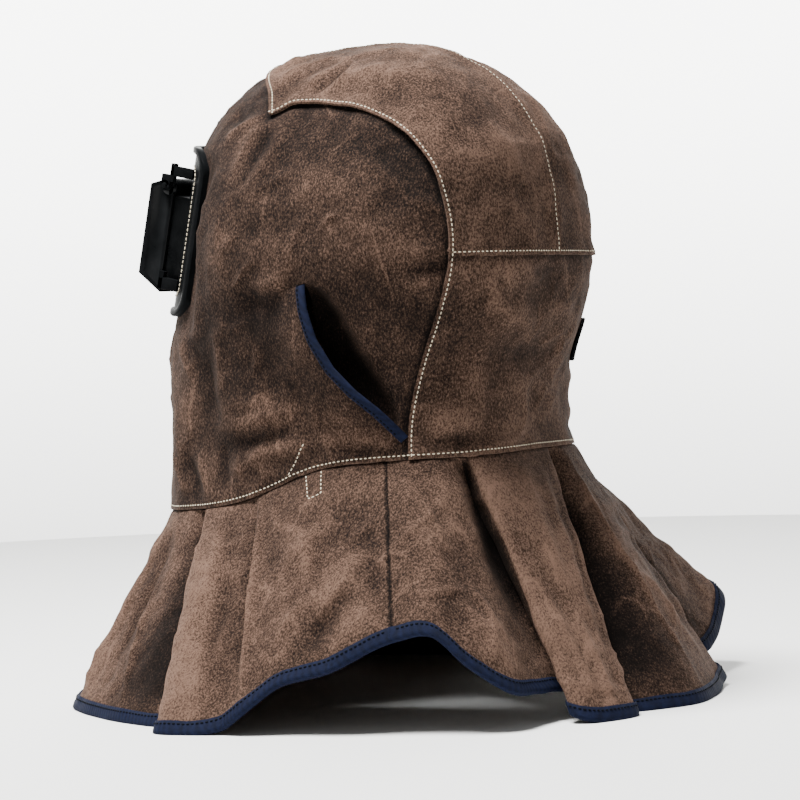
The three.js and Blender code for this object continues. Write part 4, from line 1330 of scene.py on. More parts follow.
def pleat_lines(row):
    """A pleat becomes six fold lines: under layer, turn, middle layer and edge, then the upper layer."""
    if isinstance(row, Fold):
        return [row]
    mid = (row.under + row.reach) / 2
    turn = math.degrees((row.reach - row.under) / 4 / row.reach) * row.faces
    end = row.hem + row.lap * row.faces
    places = [
        (end, row.under),
        (end + turn, (row.under + mid) / 2),
        (end, mid),
        (row.hem + turn, mid),
        (row.hem, (mid + row.reach) / 2),
        (row.hem + turn, row.reach),
    ]
    made = [
        Fold(
            neck=row.neck + (i - 2.5) * PLEAT_GAP * row.faces,
            step=PLEAT_SUNK + i * PLEAT_RISE / 5,
            hem=hem,
            reach=reach,
            lift=row.low + (row.lift - row.low) * i / 5,
        )
        for i, (hem, reach) in enumerate(places)
    ]
    return made[:: row.faces]


def fold_lines():
    """Fold lines round the cape from its right side to its back, and the number of the left side seam's."""
    left, back = ([line for row in rows for line in pleat_lines(row)] for rows in (FRONT_FOLDS, BACK_FOLDS))
    right = [
        row._replace(
            neck=-row.neck,
            hem=-row.hem,
            reach=row.reach + RIGHT_FLARE * max(0, row.hem - FLARE_FROM) / FLARE_SPAN,
        )
        for row in left[:0:-1]
    ]
    return right + left + back, len(right) + len(left) - 1


def hem_place(fold):
    turn = math.radians(fold.hem)
    return fold.reach * math.sin(turn), -fold.reach * math.cos(turn), fold.lift - HEM_SINK


def cape_lines(step):
    """Lines of the cape: neck angle, neck step and hem point of each, and the first line of its back."""
    folds, seam = fold_lines()
    n = len(folds)
    hems = np.array([hem_place(fold) for fold in folds])
    long = np.linalg.norm(np.roll(hems, -1, axis=0) - hems, axis=1)
    chord = (np.roll(hems, -1, axis=0) - hems) / long[:, None]
    before, last = np.roll(chord, 1, axis=0), np.roll(long, 1)
    slope = (before * long[:, None] + chord * last[:, None]) / (long + last)[:, None]
    parts = [max(2, int(round(h / step))) for h in long]
    rows = []
    for i, fold in enumerate(folds):
        h, j = long[i], (i + 1) % n
        turn = folds[j].neck + (360 if j == 0 else 0) - fold.neck
        for s in np.arange(parts[i]) / parts[i]:
            hem = hems[i] * (1 - s) ** 2 * (1 + 2 * s) + hems[j] * s * s * (3 - 2 * s)
            hem = hem + slope[i] * h * s * (1 - s) ** 2 - slope[j] * h * s * s * (1 - s)
            neck, sunk = fold.neck + turn * s, fold.step + (folds[j].step - fold.step) * s
            rows.append((neck, sunk, hem[0], hem[1], max(hem[2], -HEM_SINK)))
    return np.array(rows), sum(parts[:seam])


def cape_point(lines, share):
    """Points of the middle of the leather; shares below 0 run up under the neck edge."""
    neck, step, hem = lines[:, 0], lines[:, 1], lines[:, 2:5]
    z = neck_at(neck)
    under = head_point(neck, z - NECK_DROP, step - TUCK_IN)
    shoulder = head_point(neck, z - CAPE_SHOULDER, step - NECK_DROP)
    share = np.broadcast_to(np.asarray(share, float), neck.shape)[:, None]
    top = head_point(neck, z - NECK_DROP + CAPE_TUCK, step - TUCK_IN)
    down = shoulder + (hem - shoulder) * np.maximum(share, 0)
    in_turn = shoulder + (under - shoulder) * np.clip(share / NECK_SHARE, 0, 1)
    up = under + (top - under) * np.clip((share - NECK_SHARE) / (-1 - NECK_SHARE), 0, 1)
    return np.where(share >= 0, down, np.where(share >= NECK_SHARE, in_turn, up))


def cape_length(lines):
    return np.linalg.norm(cape_point(lines, 0.0) - lines[:, 2:5], axis=1)


def cape_place(lines, neck, share):
    """The point of the line nearest to a neck angle, a share of the way to the hem."""
    pick = int(np.argmin(np.abs(lines[:, 0] - neck)))
    return cape_point(lines[pick : pick + 1], share)[0]


def cape_creases(lines):
    t = np.linspace(0, 1, CREASE_POINTS)
    found = []
    for a0, s0, a1, s1, wide, out in CAPE_CREASES:
        places = zip(a0 + (a1 - a0) * t, s0 + (s1 - s0) * t)
        found.append((np.array([cape_place(lines, a, s) for a, s in places]), wide, out))
    return found


def ring_normals(grid):
    """Normals of a grid of rows that close round, pointing out of the cape."""
    east = np.roll(grid, -1, axis=1) - np.roll(grid, 1, axis=1)
    up = np.empty_like(grid)
    up[1:-1] = grid[:-2] - grid[2:]
    up[0], up[-1] = grid[0] - grid[1], grid[-2] - grid[-1]
    return unit(np.cross(east, up))


CAPE_PAINTED_LIGHT = [
    # neck angle, painted light of the cape there: lighter above 0, painted shade below 0
    (20, 0.4), (50, 0.9), (72, 1.0), (90, -0.2), (130, 0.0), (150, 0.9), (180, 0.9),
]
# Spacing of the cape's lines at the hem, rows from the neck to it, and lines over which a fold is proud
CAPE_GRID = 2.3
CAPE_ROWS = 72
CAPE_REACH = 10
# Wrinkles as sizes and heights of noise, crumples with their seeds, and how they calm down at the edges
CAPE_ROUGH = [(60, 2.2), (28, 1.6), (13, 0.8), (7, 0.3)]
CAPE_SEED = 8.8
CAPE_CRUMPLES = [(46, 3.2, 2.9), (27, 2.2, 7.1)]
HEM_CALM = 9
NECK_CALM = 7
EDGE_WAVE = 0.25
# Nap: lighter where wrinkles and folds stand proud and are rubbed, with painted shade in their valleys;
# painted highlights on pleat edges, painted shade in pleats and side seams
WAVE_LIGHT, WAVE_ENDS = 0.42, (-0.8, 1.6)
PROUD_LIGHT, PROUD_ENDS, PROUD_GROWTH = 0.28, (-2.0, 1.0), 0.3
PLEAT_PAINTED_SHADE = 7.5
PLEAT_EDGE_HIGHLIGHT = 1.3
SIDE_SEAM_SHADE = 4


def proud(grid, normal):
    """How far each point stands out over the leather beside it: folds are proud, valleys are not."""
    span = range(-CAPE_REACH, CAPE_REACH + 1)
    mean = sum(np.roll(grid, k, axis=1) for k in span) / len(span)
    return np.sum((grid - mean) * normal, axis=-1)


PLEATS = [
    # neck angle, side faced, depth, spread of the hollow and of its shade round the neck, shade's end
    (50, 1, 15, 3.0, 8.0, 1.2),
    (-50, -1, 15, 3.0, 8.0, 1.2),
    (146.5, 1, 20, 3.0, 3.6, 0.78),
    (185, -1, 22, 4.2, 10.0, 1.2),
    (211, -1, 15, 3.0, 6.0, 1.2),
]
# How a hollow deepens from the neck and shallows to the hem
HOLLOW_GAIN, HOLLOW_RISE, HOLLOW_FALL = 1.75, 0.5, 0.7
# Neck angle from a pleat's edge at which its hollow is deepest, and over which the edge turns under
HOLLOW_FROM = 1.5
TURN_FROM, TURN_OVER = 0.3, 0.6
# Share over which a pleat's shade ends, and how it opens from the neck to the hem
SHADE_FADE = 0.4
OPEN_NECK, OPEN_GROWTH = 0.3, 0.9
# Neck angle and spread of the painted highlight along a pleat's edge
PLEAT_HIGHLIGHT_AT, PLEAT_HIGHLIGHT_SPREAD = 1.2, 0.8


def pleat_hollows(grid, lines, shares):
    """Draws the leather in under each pleat, most at the middle of its length; also its painted shade and the
    painted highlight along its edge.
    """
    draw, dark, edge = np.zeros((3, *grid.shape[:2]))
    down = np.clip(shares, 0, 1)[:, None]
    tall = HOLLOW_GAIN * down**HOLLOW_RISE * (1 - down) ** HOLLOW_FALL
    opens = OPEN_NECK + OPEN_GROWTH * down
    for neck, faces, deep, hollow, shade, end in PLEATS:
        side = (lines[:, 0] - neck) * faces
        inside = np.clip((TURN_FROM - side) / TURN_OVER, 0, 1)
        beyond = np.minimum(side + HOLLOW_FROM, 0) / hollow
        draw = np.maximum(draw, deep * tall * inside * np.exp(-(beyond**2)))
        close = np.sqrt(tall) * np.clip((end - down) / SHADE_FADE, 0, 1)
        dim = np.minimum(side + HOLLOW_FROM * opens, 0) / (shade * opens)
        # Painted shade inside the pleat
        dark = np.maximum(dark, close * inside * np.exp(-(np.abs(dim) ** 3)))
        # Painted highlight along the pleat's edge
        edge = np.maximum(edge, np.sqrt(tall) * np.exp(-(((side - PLEAT_HIGHLIGHT_AT) / PLEAT_HIGHLIGHT_SPREAD) ** 2)))
    away = np.stack([grid[..., 0], grid[..., 1] - HEAD_Y, np.zeros(grid.shape[:2])], -1)
    return grid - unit(away) * draw[..., None], dark, edge


CapeSheet = namedtuple("CapeSheet", "grid normal nap lines panels")


@lru_cache(maxsize=1)
def cape_sheet():
    """Middle face of the cape in rows from the tuck to the hem, with the columns of its two panels."""
    lines, stop = cape_lines(CAPE_GRID)
    shares = np.concatenate([[-1.0, NECK_SHARE, NECK_SHARE / 2], np.linspace(0, 1, CAPE_ROWS)])
    grid = np.stack([cape_point(lines, s) for s in shares])
    normal = ring_normals(grid)
    flat = grid.reshape(-1, 3)
    inner = np.clip((1 - shares) * HEM_CALM, 0, 1) * np.clip(shares * NECK_CALM, 0, 1)
    wave = creased(flat, cape_creases(lines)) + rough(flat, CAPE_ROUGH, CAPE_SEED)
    wave += sum(crumpled(flat, *crumple) for crumple in CAPE_CRUMPLES)
    wave = wave.reshape(grid.shape[:2]) * (EDGE_WAVE + (1 - EDGE_WAVE) * inner)[:, None]
    wave[shares <= 0] = 0
    grid, dark, edge = pleat_hollows(grid + normal * wave[..., None], lines, shares)
    normal = ring_normals(grid)
    ridge = np.clip(proud(grid, normal) * PROUD_LIGHT, *PROUD_ENDS)
    ridge *= np.clip(shares, 0, 1)[:, None] ** PROUD_GROWTH
    # Painted light round the cape by neck angle: lighter at the front and back, darker at the sides
    tone = np.interp(lines[:, 0], *columns(CAPE_PAINTED_LIGHT))
    # Rubbed wear on proud wrinkles and folds, painted shade in their valleys and in the pleats, painted
    # highlights on pleat edges
    nap = tone + np.clip(wave * WAVE_LIGHT, *WAVE_ENDS) + ridge - PLEAT_PAINTED_SHADE * dark + PLEAT_EDGE_HIGHLIGHT * edge
    count = len(lines)
    panels = {"front": np.arange(stop + 1), "back": np.append(np.arange(stop, count), 0)}
    return CapeSheet(grid, normal, nap, lines, panels)


SEAM_GAP = 0.06


def seam_inset(strip):
    """Pulls the two ends of a strip of columns back from the side seams."""
    strip = strip.copy()
    for end, nxt in ((0, 1), (-1, -2)):
        strip[:, end] += unit(strip[:, nxt] - strip[:, end]) * SEAM_GAP
    return strip


# Lowest points of the leather and of the tape over the floor
LEATHER_LOW = 0.6
TAPE_LOW = 0.05
TAPE_ROUGH = [(16, 0.5), (7, 0.22)]
TAPE_SEED = 5.5


class HOOD_OT_cape(bpy.types.Operator):
    """Pleats the two panels of the cape and binds their hem"""

    bl_idname = "hood.cape"
    bl_label = "Cape and hem binding"

    def execute(self, context):
        cape = cape_sheet()
        half = in_mm(sizes().leather) / 2
        for part, cols in cape.panels.items():
            grid, normal = cape.grid[:, cols], cape.normal[:, cols]
            outer, inner = seam_inset(grid + normal * half), seam_inset(grid - normal * half)
            short = HEM_SHORT / cape_length(cape.lines)[cols] * (CAPE_ROWS - 1)
            for face in (outer, inner):
                face[-1] += (face[-2] - face[-1]) * short[:, None]
                face[..., 2] = np.maximum(face[..., 2], LEATHER_LOW)
            ring = np.concatenate([outer, inner[::-1]])
            faces = [f[::-1] for f in band_faces(*ring.shape[:2])]
            nap = cape.nap[:, cols]
            # Painted shade along the side seams
            nap[:, [0, -1]] -= SIDE_SEAM_SHADE
            nap = np.concatenate([nap, nap[::-1]]).ravel()
            obj = mesh_object(f"cape_suede_{part}", ring.reshape(-1, 3), faces, suede(), nap=nap, sharp=60)
            sew(obj, "hood", "suede", f"cape_{part}")
            tape = self.binding(part, grid, normal)
        return {"FINISHED"}

    def binding(self, part, grid, normal):
        """Tape folded over the hem: outer leg, rounded turn and inner leg."""
        tall = in_mm(sizes().binding)
        half = in_mm(sizes().leather) / 2
        low = half + 0.3
        high = low + in_mm(sizes().tape)
        section = [
            # distance off the middle of the leather, height up from the hem
            (low, tall - 0.2),
            (low + 0.45, tall),
            (high, tall - 0.5),
            (high + 0.1, tall * 0.62),
            (high + 0.15, tall * 0.3),
            (high - 0.25, 0.7),
            (half, 0.05),
            (0.0, -0.1),
            (-half, 0.05),
            (-high + 0.25, 0.7),
            (-high - 0.1, tall * 0.35),
            (-high, tall - 0.5),
            (-low - 0.45, tall),
            (-low, tall - 0.2),
        ]
        down = unit(grid[-1] - grid[-3])
        rows = []
        wobble = rough(grid[-1], TAPE_ROUGH, TAPE_SEED)
        for off, up in section:
            lift = wobble * np.clip(up / tall, 0, 1)
            rows.append(grid[-1] - down * up + normal[-2] * (off + np.sign(off) * lift)[:, None])
        band = seam_inset(np.stack(rows))
        band[..., 2] = np.maximum(band[..., 2], TAPE_LOW)
        faces = band_faces(*band.shape[:2])
        obj = mesh_object(f"hem_tape_{part}", band.reshape(-1, 3), faces, binding_tape(), sharp=60)
        return sew(obj, "hood", "navy_tape", f"hem_binding_{part}")


class HOOD_OT_vent_bindings(bpy.types.Operator):
    """Folds the tape over the lips of the ear vents"""

    bl_idname = "hood.vent_bindings"
    bl_label = "Vent bindings"

    def execute(self, context):
        thick = in_mm(sizes().leather)
        tape = in_mm(sizes().tape)
        section = [
            # distance in from the edge of the lip, distance off its outer face
            (VENT_TAPE, 0.15),
            (VENT_TAPE - 0.3, tape),
            (VENT_TAPE * 0.5, tape + 0.25),
            (0.6, tape + 0.1),
            (-0.35, 0.1),
            (-0.6, -thick / 2),
            (-0.35, -thick - 0.1),
            (0.6, -thick - tape),
            (VENT_TAPE - 0.3, -thick - tape),
            (VENT_TAPE, -thick - 0.15),
        ]
        for side, turn in (("left", 1), ("right", -1)):
            rows = []
            for inset, off in section:
                edge = vent_offset(inset, TAPE_SHARES)
                last = edge[-1] - edge[-4]
                end = edge[-1:] + last * VENT_END / np.linalg.norm(last * CHART_SCALE)
                edge = np.concatenate([edge, end])
                angle, z = turn * edge[:, 0], edge[:, 1]
                lift = lip_height(np.linspace(0, 1, len(edge)), max(inset, 0))
                rows.append(head_point(angle, z, lift) + head_normal(angle, z) * off)
            band = np.stack(rows)
            faces = [f[::turn] for f in band_faces(*band.shape[:2])]
            obj = mesh_object(f"vent_tape_{side}", band.reshape(-1, 3), faces, binding_tape(), sharp=60)
            sew(obj, "hood", "navy_tape", f"vent_binding_{side}")
        return {"FINISHED"}


# Neck tab: height of its rounded edge, share of its thickness left where it is drawn tight, and clearance
TAB_EDGE = 0.8
TAB_TIGHT = 0.6
TAB_CLEAR = 0.2
TAB_SPAN = 4


class HOOD_OT_neck_tab(bpy.types.Operator):
    """Lays the webbing tab round the right side of the neck"""

    bl_idname = "hood.neck_tab"
    bl_label = "Neck tab"

    def execute(self, context):
        angles = np.linspace(TAB_FROM, TAB_TO, 60)
        low, high = TAB_LOW + TAB_EDGE, TAB_HIGH - TAB_EDGE
        middle = np.linspace(TAB_LOW + 3, TAB_HIGH - 3, 8)
        outer = TAB_OFF + TAB_THICK
        section = [
            # height, distance off the head
            (TAB_LOW, TAB_OFF + TAB_EDGE),
            *[(z, outer) for z in (low, *middle, high)],
            (TAB_HIGH, TAB_OFF + TAB_EDGE),
            *[(z, TAB_OFF) for z in (high, *middle[::-1], low)],
        ]
        lift = self.over(angles)
        rows = []
        for z, off in section:
            rows.append(head_point(angles, z) + head_normal(angles, z) * (off * TAB_TIGHT + lift)[:, None])
        n, m = len(angles), len(section)
        faces = grid_faces(m, n, ring_rows=True)
        faces.append([j * n for j in range(m)])
        faces.append([j * n + n - 1 for j in range(m)][::-1])
        faces = [f[::-1] for f in faces]
        obj = mesh_object("neck_webbing", np.concatenate(rows), faces, webbing(), sharp=50)
        sew(obj, "hood", "black_webbing", "neck_tab")
        return {"FINISHED"}

    def over(self, angles):
        """How far the tab is lifted by the seams and wrinkles that it lies on."""
        ground = Ground("face_suede", "back_suede")
        lift = np.zeros(len(angles))
        for z in np.linspace(TAB_LOW, TAB_HIGH, 9):
            place, up = head_point(angles, z), head_normal(angles, z)
            found, _ = ground.drop(place, up)
            lift = np.maximum(lift, np.sum((found - place) * up, axis=1))
        wide = np.pad(lift, TAB_SPAN, mode="edge")
        beside = [wide[k : k + len(lift)] for k in range(2 * TAB_SPAN + 1)]
        return np.max(beside, axis=0) + TAB_CLEAR


# Stitches

# A stitch: points round it, and its half profile as share of its length and of its width
DASH_ROUND = 8
DASH_PROFILE = [(-0.5, 0.0), (-0.42, 0.62), (-0.22, 0.95), (0.22, 0.95), (0.42, 0.62), (0.5, 0.0)]
# Rows of stitches: share of the spacing that shows, width and height of each stitch
SEAM_STITCH = (0.62, 0.85, 0.42)
TAPE_STITCH = (0.66, 1.1, 0.9)
PLATE_STITCH = (0.7, 1.0, 0.8)
# Share of a stitch's height that its middle stands over the ground, and lowest place of a stitch
STITCH_STAND = 0.22
FLOOR_CLEAR = 2.0
# Height from which stitches are dropped on the ground, and how far
DROP_FROM = 9
DROP_FAR = 24
# Where rows start: height over the neck, angle at the brow, angles round the back, levels at the centre
SIDE_ROW_FROM = 1.5
BROW_ROW_FROM = 0.8
BACK_ROW = (141.5, 218.5)
CENTRE_TOP, CENTRE_END = 6, 4
# Points of long rows: round the back, before and behind the top, and round the neck
BACK_POINTS = 160
CENTRE_POINTS = (80, 140)
NECK_POINTS = 721
# Slanted tack over the neck seam: angles, heights and points; U tack: neck angle and share of the cape
SLANT_ANGLES = (94.5, 88.5)
SLANT_HEIGHTS = (171, 153)
SLANT_LEVEL = 160.0
SLANT_POINTS = 30
U_TACK = [(95.4, 0.01), (95.9, 0.12), (96.6, 0.132), (100.6, 0.118), (101.0, 0.106), (101.1, 0.01)]
U_POINTS = 12
U_RISE = 60.0
# Tape rows: distance from the upper edge of the hem tape and from the inner edge of a vent's, and off them
HEM_ROW, HEM_ROW_OFF = 2.6, 2.2
VENT_ROW, VENT_ROW_OFF = 1.3, 1.2


def dash(places, alongs, ups, long, wide, tall):
    """Small rounded stitches at places, pointing along and standing up."""
    n = DASH_ROUND
    ring = [(math.cos(a), math.sin(a)) for a in np.arange(n) * math.tau / n]
    points, faces = [], []
    for place, along, up in zip(places, alongs, ups):
        side = np.cross(up, along)
        base = len(points)
        points.append(place + along * (DASH_PROFILE[0][0] * long))
        for t, r in DASH_PROFILE[1:-1]:
            middle = place + along * (t * long)
            for c, s in ring:
                points.append(middle + side * (c * r * wide / 2) + up * (s * r * tall / 2))
        points.append(place + along * (DASH_PROFILE[-1][0] * long))
        last = len(points) - 1
        for i in range(n):
            j = (i + 1) % n
            faces.append((base, base + 1 + j, base + 1 + i))
            for k in range(len(DASH_PROFILE) - 3):
                a, b = base + 1 + k * n + i, base + 1 + k * n + j
                faces.append((a, b, b + n, a + n))
            faces.append((last, last - n + i, last - n + j))
    return points, faces


def along_line(line):
    return unit(np.gradient(line, axis=0))


class Ground:
    """The surfaces that stitches are sewn into."""

    def __init__(self, *names):
        verts, polygons = [], []
        for name in names:
            mesh = bpy.data.objects[name].data
            base = len(verts)
            verts.extend(v.co / MM for v in mesh.vertices)
            polygons.extend([base + v for v in p.vertices] for p in mesh.polygons)
        self.tree = BVHTree.FromPolygons(verts, polygons)

    def drop(self, places, ups):
        """Places moved on to the surface from outside, and its normals there."""
        found, normals = [], []
        for place, up in zip(places, ups):
            start = Vector(place + up * DROP_FROM)
            hit, normal, _, _ = self.tree.ray_cast(start, Vector(-up), DROP_FAR)
            if hit is None:
                hit, normal, _, _ = self.tree.find_nearest(Vector(place))
            found.append(hit)
            normals.append(normal if normal.dot(Vector(up)) > 0 else -normal)
        return np.array(found), np.array(normals)


def sew_line(ground, line, ups, stitch=SEAM_STITCH):
    """Stitches along a line of places, laid on the ground."""
    share, wide, tall = stitch
    spacing = in_mm(sizes().stitch)
    both = resample(np.concatenate([line, ups], axis=1), line, spacing=spacing)
    line, ups = both[:, :3], unit(both[:, 3:])
    places, normals = ground.drop(line, ups)
    normals = unit(normals * 0.5 + ups * 0.5)
    alongs = along_line(places)
    alongs = unit(alongs - normals * np.sum(alongs * normals, axis=1, keepdims=True))
    places = places + normals * tall * STITCH_STAND
    clear = places[:, 2] > FLOOR_CLEAR
    return dash(places[clear], alongs[clear], normals[clear], spacing * share, wide, tall)


def joined(parts):
    points, faces = [], []
    for some, polygons in parts:
        base = len(points)
        points.extend(some)
        faces.extend([base + v for v in f] for f in polygons)
    return np.array(points), faces


def inset_line(angle, level, turn):
    """A seam's stitching line, moved along the leather square to the seam, and its normals."""
    line = head_point(angle, level)
    ups = head_normal(angle, level)
    side = unit(np.cross(along_line(line), ups)) * turn
    return line + side * in_mm(sizes().stitch_inset), ups


class HOOD_OT_stitching(bpy.types.Operator):
    """Sews the stitches along the seams of the head and the neck, the tacks and the rows on the tapes"""

    bl_idname = "hood.stitching"
    bl_label = "Stitching"

    def execute(self, context):
        head = Ground("face_suede", "back_suede", "crown_suede_left", "crown_suede_right")
        sides = side_path[side_path[:, 1] > neck_at(SIDE_SEAM[0][0]) + SIDE_ROW_FROM]
        brow = brow_path[brow_path[:, 0] > BROW_ROW_FROM]
        lines = [
            inset_line(turn * path[:, 0], path[:, 1], turn) for turn in (1, -1) for path in (sides, brow)
        ]
        round_back = np.linspace(*BACK_ROW, BACK_POINTS)
        lines.append(inset_line(round_back, np.full(BACK_POINTS, SEAM_LEVEL), -1))
        lines.append(self.centre())
        neck = np.linspace(-180, 180, NECK_POINTS)
        lines.append(inset_line(neck, neck_at(neck), -1))
        parts = [sew_line(head, *line) for line in lines] + self.tacks(head)
        obj = mesh_object("seam_thread", *joined(parts), off_white_thread())
        sew(obj, "hood", "suede")
        self.tape_rows()
        return {"FINISHED"}

    def centre(self):
        """The row beside the centre seam, over the crown on its left."""
        top = CROWN_TOP - CENTRE_TOP
        before, behind = CENTRE_POINTS
        angle = np.concatenate([np.zeros(before), np.full(behind, 180.0)])
        front = np.linspace(brow_path[-1][1] + CENTRE_END, top, before)
        level = np.concatenate([front, np.linspace(top, SEAM_LEVEL + CENTRE_END, behind)])
        beside = np.array([in_mm(sizes().stitch_inset), 0, 0])
        return head_point(angle, level) + beside, head_normal(angle, level)

    def tacks(self, head):
        """The slanted row over the neck seam and the small U tack on the cape below it."""
        angle, height = (np.linspace(*ends, SLANT_POINTS) for ends in (SLANT_ANGLES, SLANT_HEIGHTS))
        ups = head_normal(angle, np.full(SLANT_POINTS, SLANT_LEVEL))
        slant = sew_line(head, head_point(angle, height), ups)
        lines = cape_sheet().lines
        corners = [cape_place(lines, neck, share) for neck, share in U_TACK]
        line = np.concatenate([np.linspace(a, b, U_POINTS) for a, b in zip(corners[:-1], corners[1:])])
        ups = unit(np.stack([line[:, 0], line[:, 1] - HEAD_Y, np.full(len(line), U_RISE)], -1))
        return [slant, sew_line(Ground("cape_suede_front", "cape_suede_back"), line, ups)]

    def tape_rows(self):
        """Navy rows near the upper edge of the hem tape and along the vent tapes."""
        cape = cape_sheet()
        parts = []
        for part, cols in cape.panels.items():
            grid, normal = cape.grid[:, cols], cape.normal[-2, cols]
            down = unit(grid[-1] - grid[-3])
            line = grid[-1] - down * (in_mm(sizes().binding) - HEM_ROW) + normal * HEM_ROW_OFF
            parts.append(sew_line(Ground(f"hem_tape_{part}"), line[2:-2], normal[2:-2], TAPE_STITCH))
        inset = VENT_TAPE - VENT_ROW
        edge = vent_offset(inset, TAPE_SHARES)
        lift = lip_height(TAPE_SHARES, inset) + VENT_ROW_OFF
        for side, turn in (("left", 1), ("right", -1)):
            line = head_point(turn * edge[:, 0], edge[:, 1], lift)
            ups = head_normal(turn * edge[:, 0], edge[:, 1])
            parts.append(sew_line(Ground(f"vent_tape_{side}"), line, ups, TAPE_STITCH))
        thread = sewing_thread("navy polyester thread", linear("#04060d"))
        sew(mesh_object("tape_thread", *joined(parts), thread), "hood", "navy_tape")


# Lens holder

PLATE_RIM = [
    # distance in from the plate's edge, height over its front face
    (0.5, -PLATE_THICK), (0.0, 0.5 - PLATE_THICK), (0.0, 1.4), (0.35, 2.05), (1.0, 2.4), (3.4, 2.3),
    (4.2, 1.9), (4.8, 0.5), (5.6, 0.0),
]
PLATE_POINTS = 240
RIM_WIDE = 6
WINDOW_CORNER = 1.5
STITCH_RING = 13.0
STITCH_CORNER = 8
# Roundness of bevelled edges, and the angles at which facets are joined and edges are bevelled
BEVEL_PROFILE = 0.6
FACET_ANGLE = math.radians(2)
EDGE_ANGLE = math.radians(30)
ARM_BEVEL = 0.6
# Sunk ends of the flip frame: least area in square millimetres, border, slope and depth
END_AREA = 400
END_BORDER = 3.2
END_SLOPE = 0.6
END_DEEP = 1.0


def rounded_outline(half, low, high, corner, count):
    """Evenly spaced points round a rectangle with round corners, from the right side upwards."""
    places = []
    for cx, cy, start in (
        (half - corner, high - corner, 0),
        (corner - half, high - corner, 90),
        (corner - half, low + corner, 180),
        (half - corner, low + corner, 270),
    ):
        for a in np.radians(start + np.linspace(0, 90, 10)):
            places.append((cx + corner * math.cos(a), cy + corner * math.sin(a)))
    places.append(places[0])
    places = np.array(places)
    return resample(places, places, count=count + 1)[:-1]


def plate_place(xy, out):
    """Points of the curved plate in the row's frame, a distance out of its front face."""
    x, up = xy[:, 0], xy[:, 1]
    tilt = plate_deep(x + 0.5) - plate_deep(x - 0.5)
    n = unit(np.stack([tilt, -np.ones_like(x)], -1))
    return from_lens(np.stack([x + n[:, 0] * out, plate_deep(x) + n[:, 1] * out, up], -1))


def plate_outline(inset, corner, count=PLATE_POINTS):
    """The plate's outline moved in from its edge."""
    return rounded_outline(PLATE_WIDE - inset, inset - PLATE_HALF, PLATE_HALF - inset, corner, count)


def refined(node, bevel):
    """A copy of a CAD solid with its facets joined and its edges rounded, as a bmesh."""
    made = bmesh.new()
    made.from_mesh(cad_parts[node].data)
    bmesh.ops.remove_doubles(made, verts=made.verts, dist=0.01 * MM)
    bmesh.ops.dissolve_limit(made, angle_limit=FACET_ANGLE, verts=made.verts, edges=made.edges)
    made.normal_update()
    edges = [e for e in made.edges if e.is_manifold and e.calc_face_angle(0) > EDGE_ANGLE]
    rounded_edges(made, edges, bevel, clamp_overlap=True)
    return made


def rounded_edges(made, edges, bevel, **settings):
    bmesh.ops.bevel(
        made, geom=edges, offset=bevel * MM, segments=2, profile=BEVEL_PROFILE, affect="EDGES", **settings
    )


def bmesh_object(name, made, material, sharp=35):
    mesh = bpy.data.meshes.new(name)
    made.normal_update()
    made.to_mesh(mesh)
    made.free()
    return smooth_object(name, mesh, material, sharp)


def lens_verts(made, places):
    """New points of a bmesh at places in the lens holder's frame."""
    return [made.verts.new(Vector(p) * MM) for p in from_lens(places)]


def arm_block(made, x, out, up):
    """One rounded bar of a bracket or latch, in the lens holder's frame."""
    verts = lens_verts(made, [(a, -b, c) for a in x for b in out for c in up])
    faces = []
    for ids in ((0, 1, 3, 2), (4, 6, 7, 5), (0, 4, 5, 1), (2, 3, 7, 6), (0, 2, 6, 4), (1, 5, 7, 3)):
        faces.append(made.faces.new([verts[i] for i in ids]))
    bmesh.ops.recalc_face_normals(made, faces=faces)
    rounded_edges(made, list(dict.fromkeys(e for f in faces for e in f.edges)), ARM_BEVEL)


def arm_ear(made, x, count=24):
    """The round ear about a hinge pin."""
    turn = np.arange(count) * math.tau / count
    out, up = -PIVOT_OUT - EAR_ROUND * np.cos(turn), PIVOT_UP + EAR_ROUND * np.sin(turn)
    rings = [lens_verts(made, np.stack([np.full(count, across), out, up], -1)) for across in x]
    faces = [made.faces.new(ring) for ring in rings]
    for i in range(count):
        j = (i + 1) % count
        faces.append(made.faces.new((rings[0][i], rings[0][j], rings[1][j], rings[1][i])))
    bmesh.ops.recalc_face_normals(made, faces=faces)


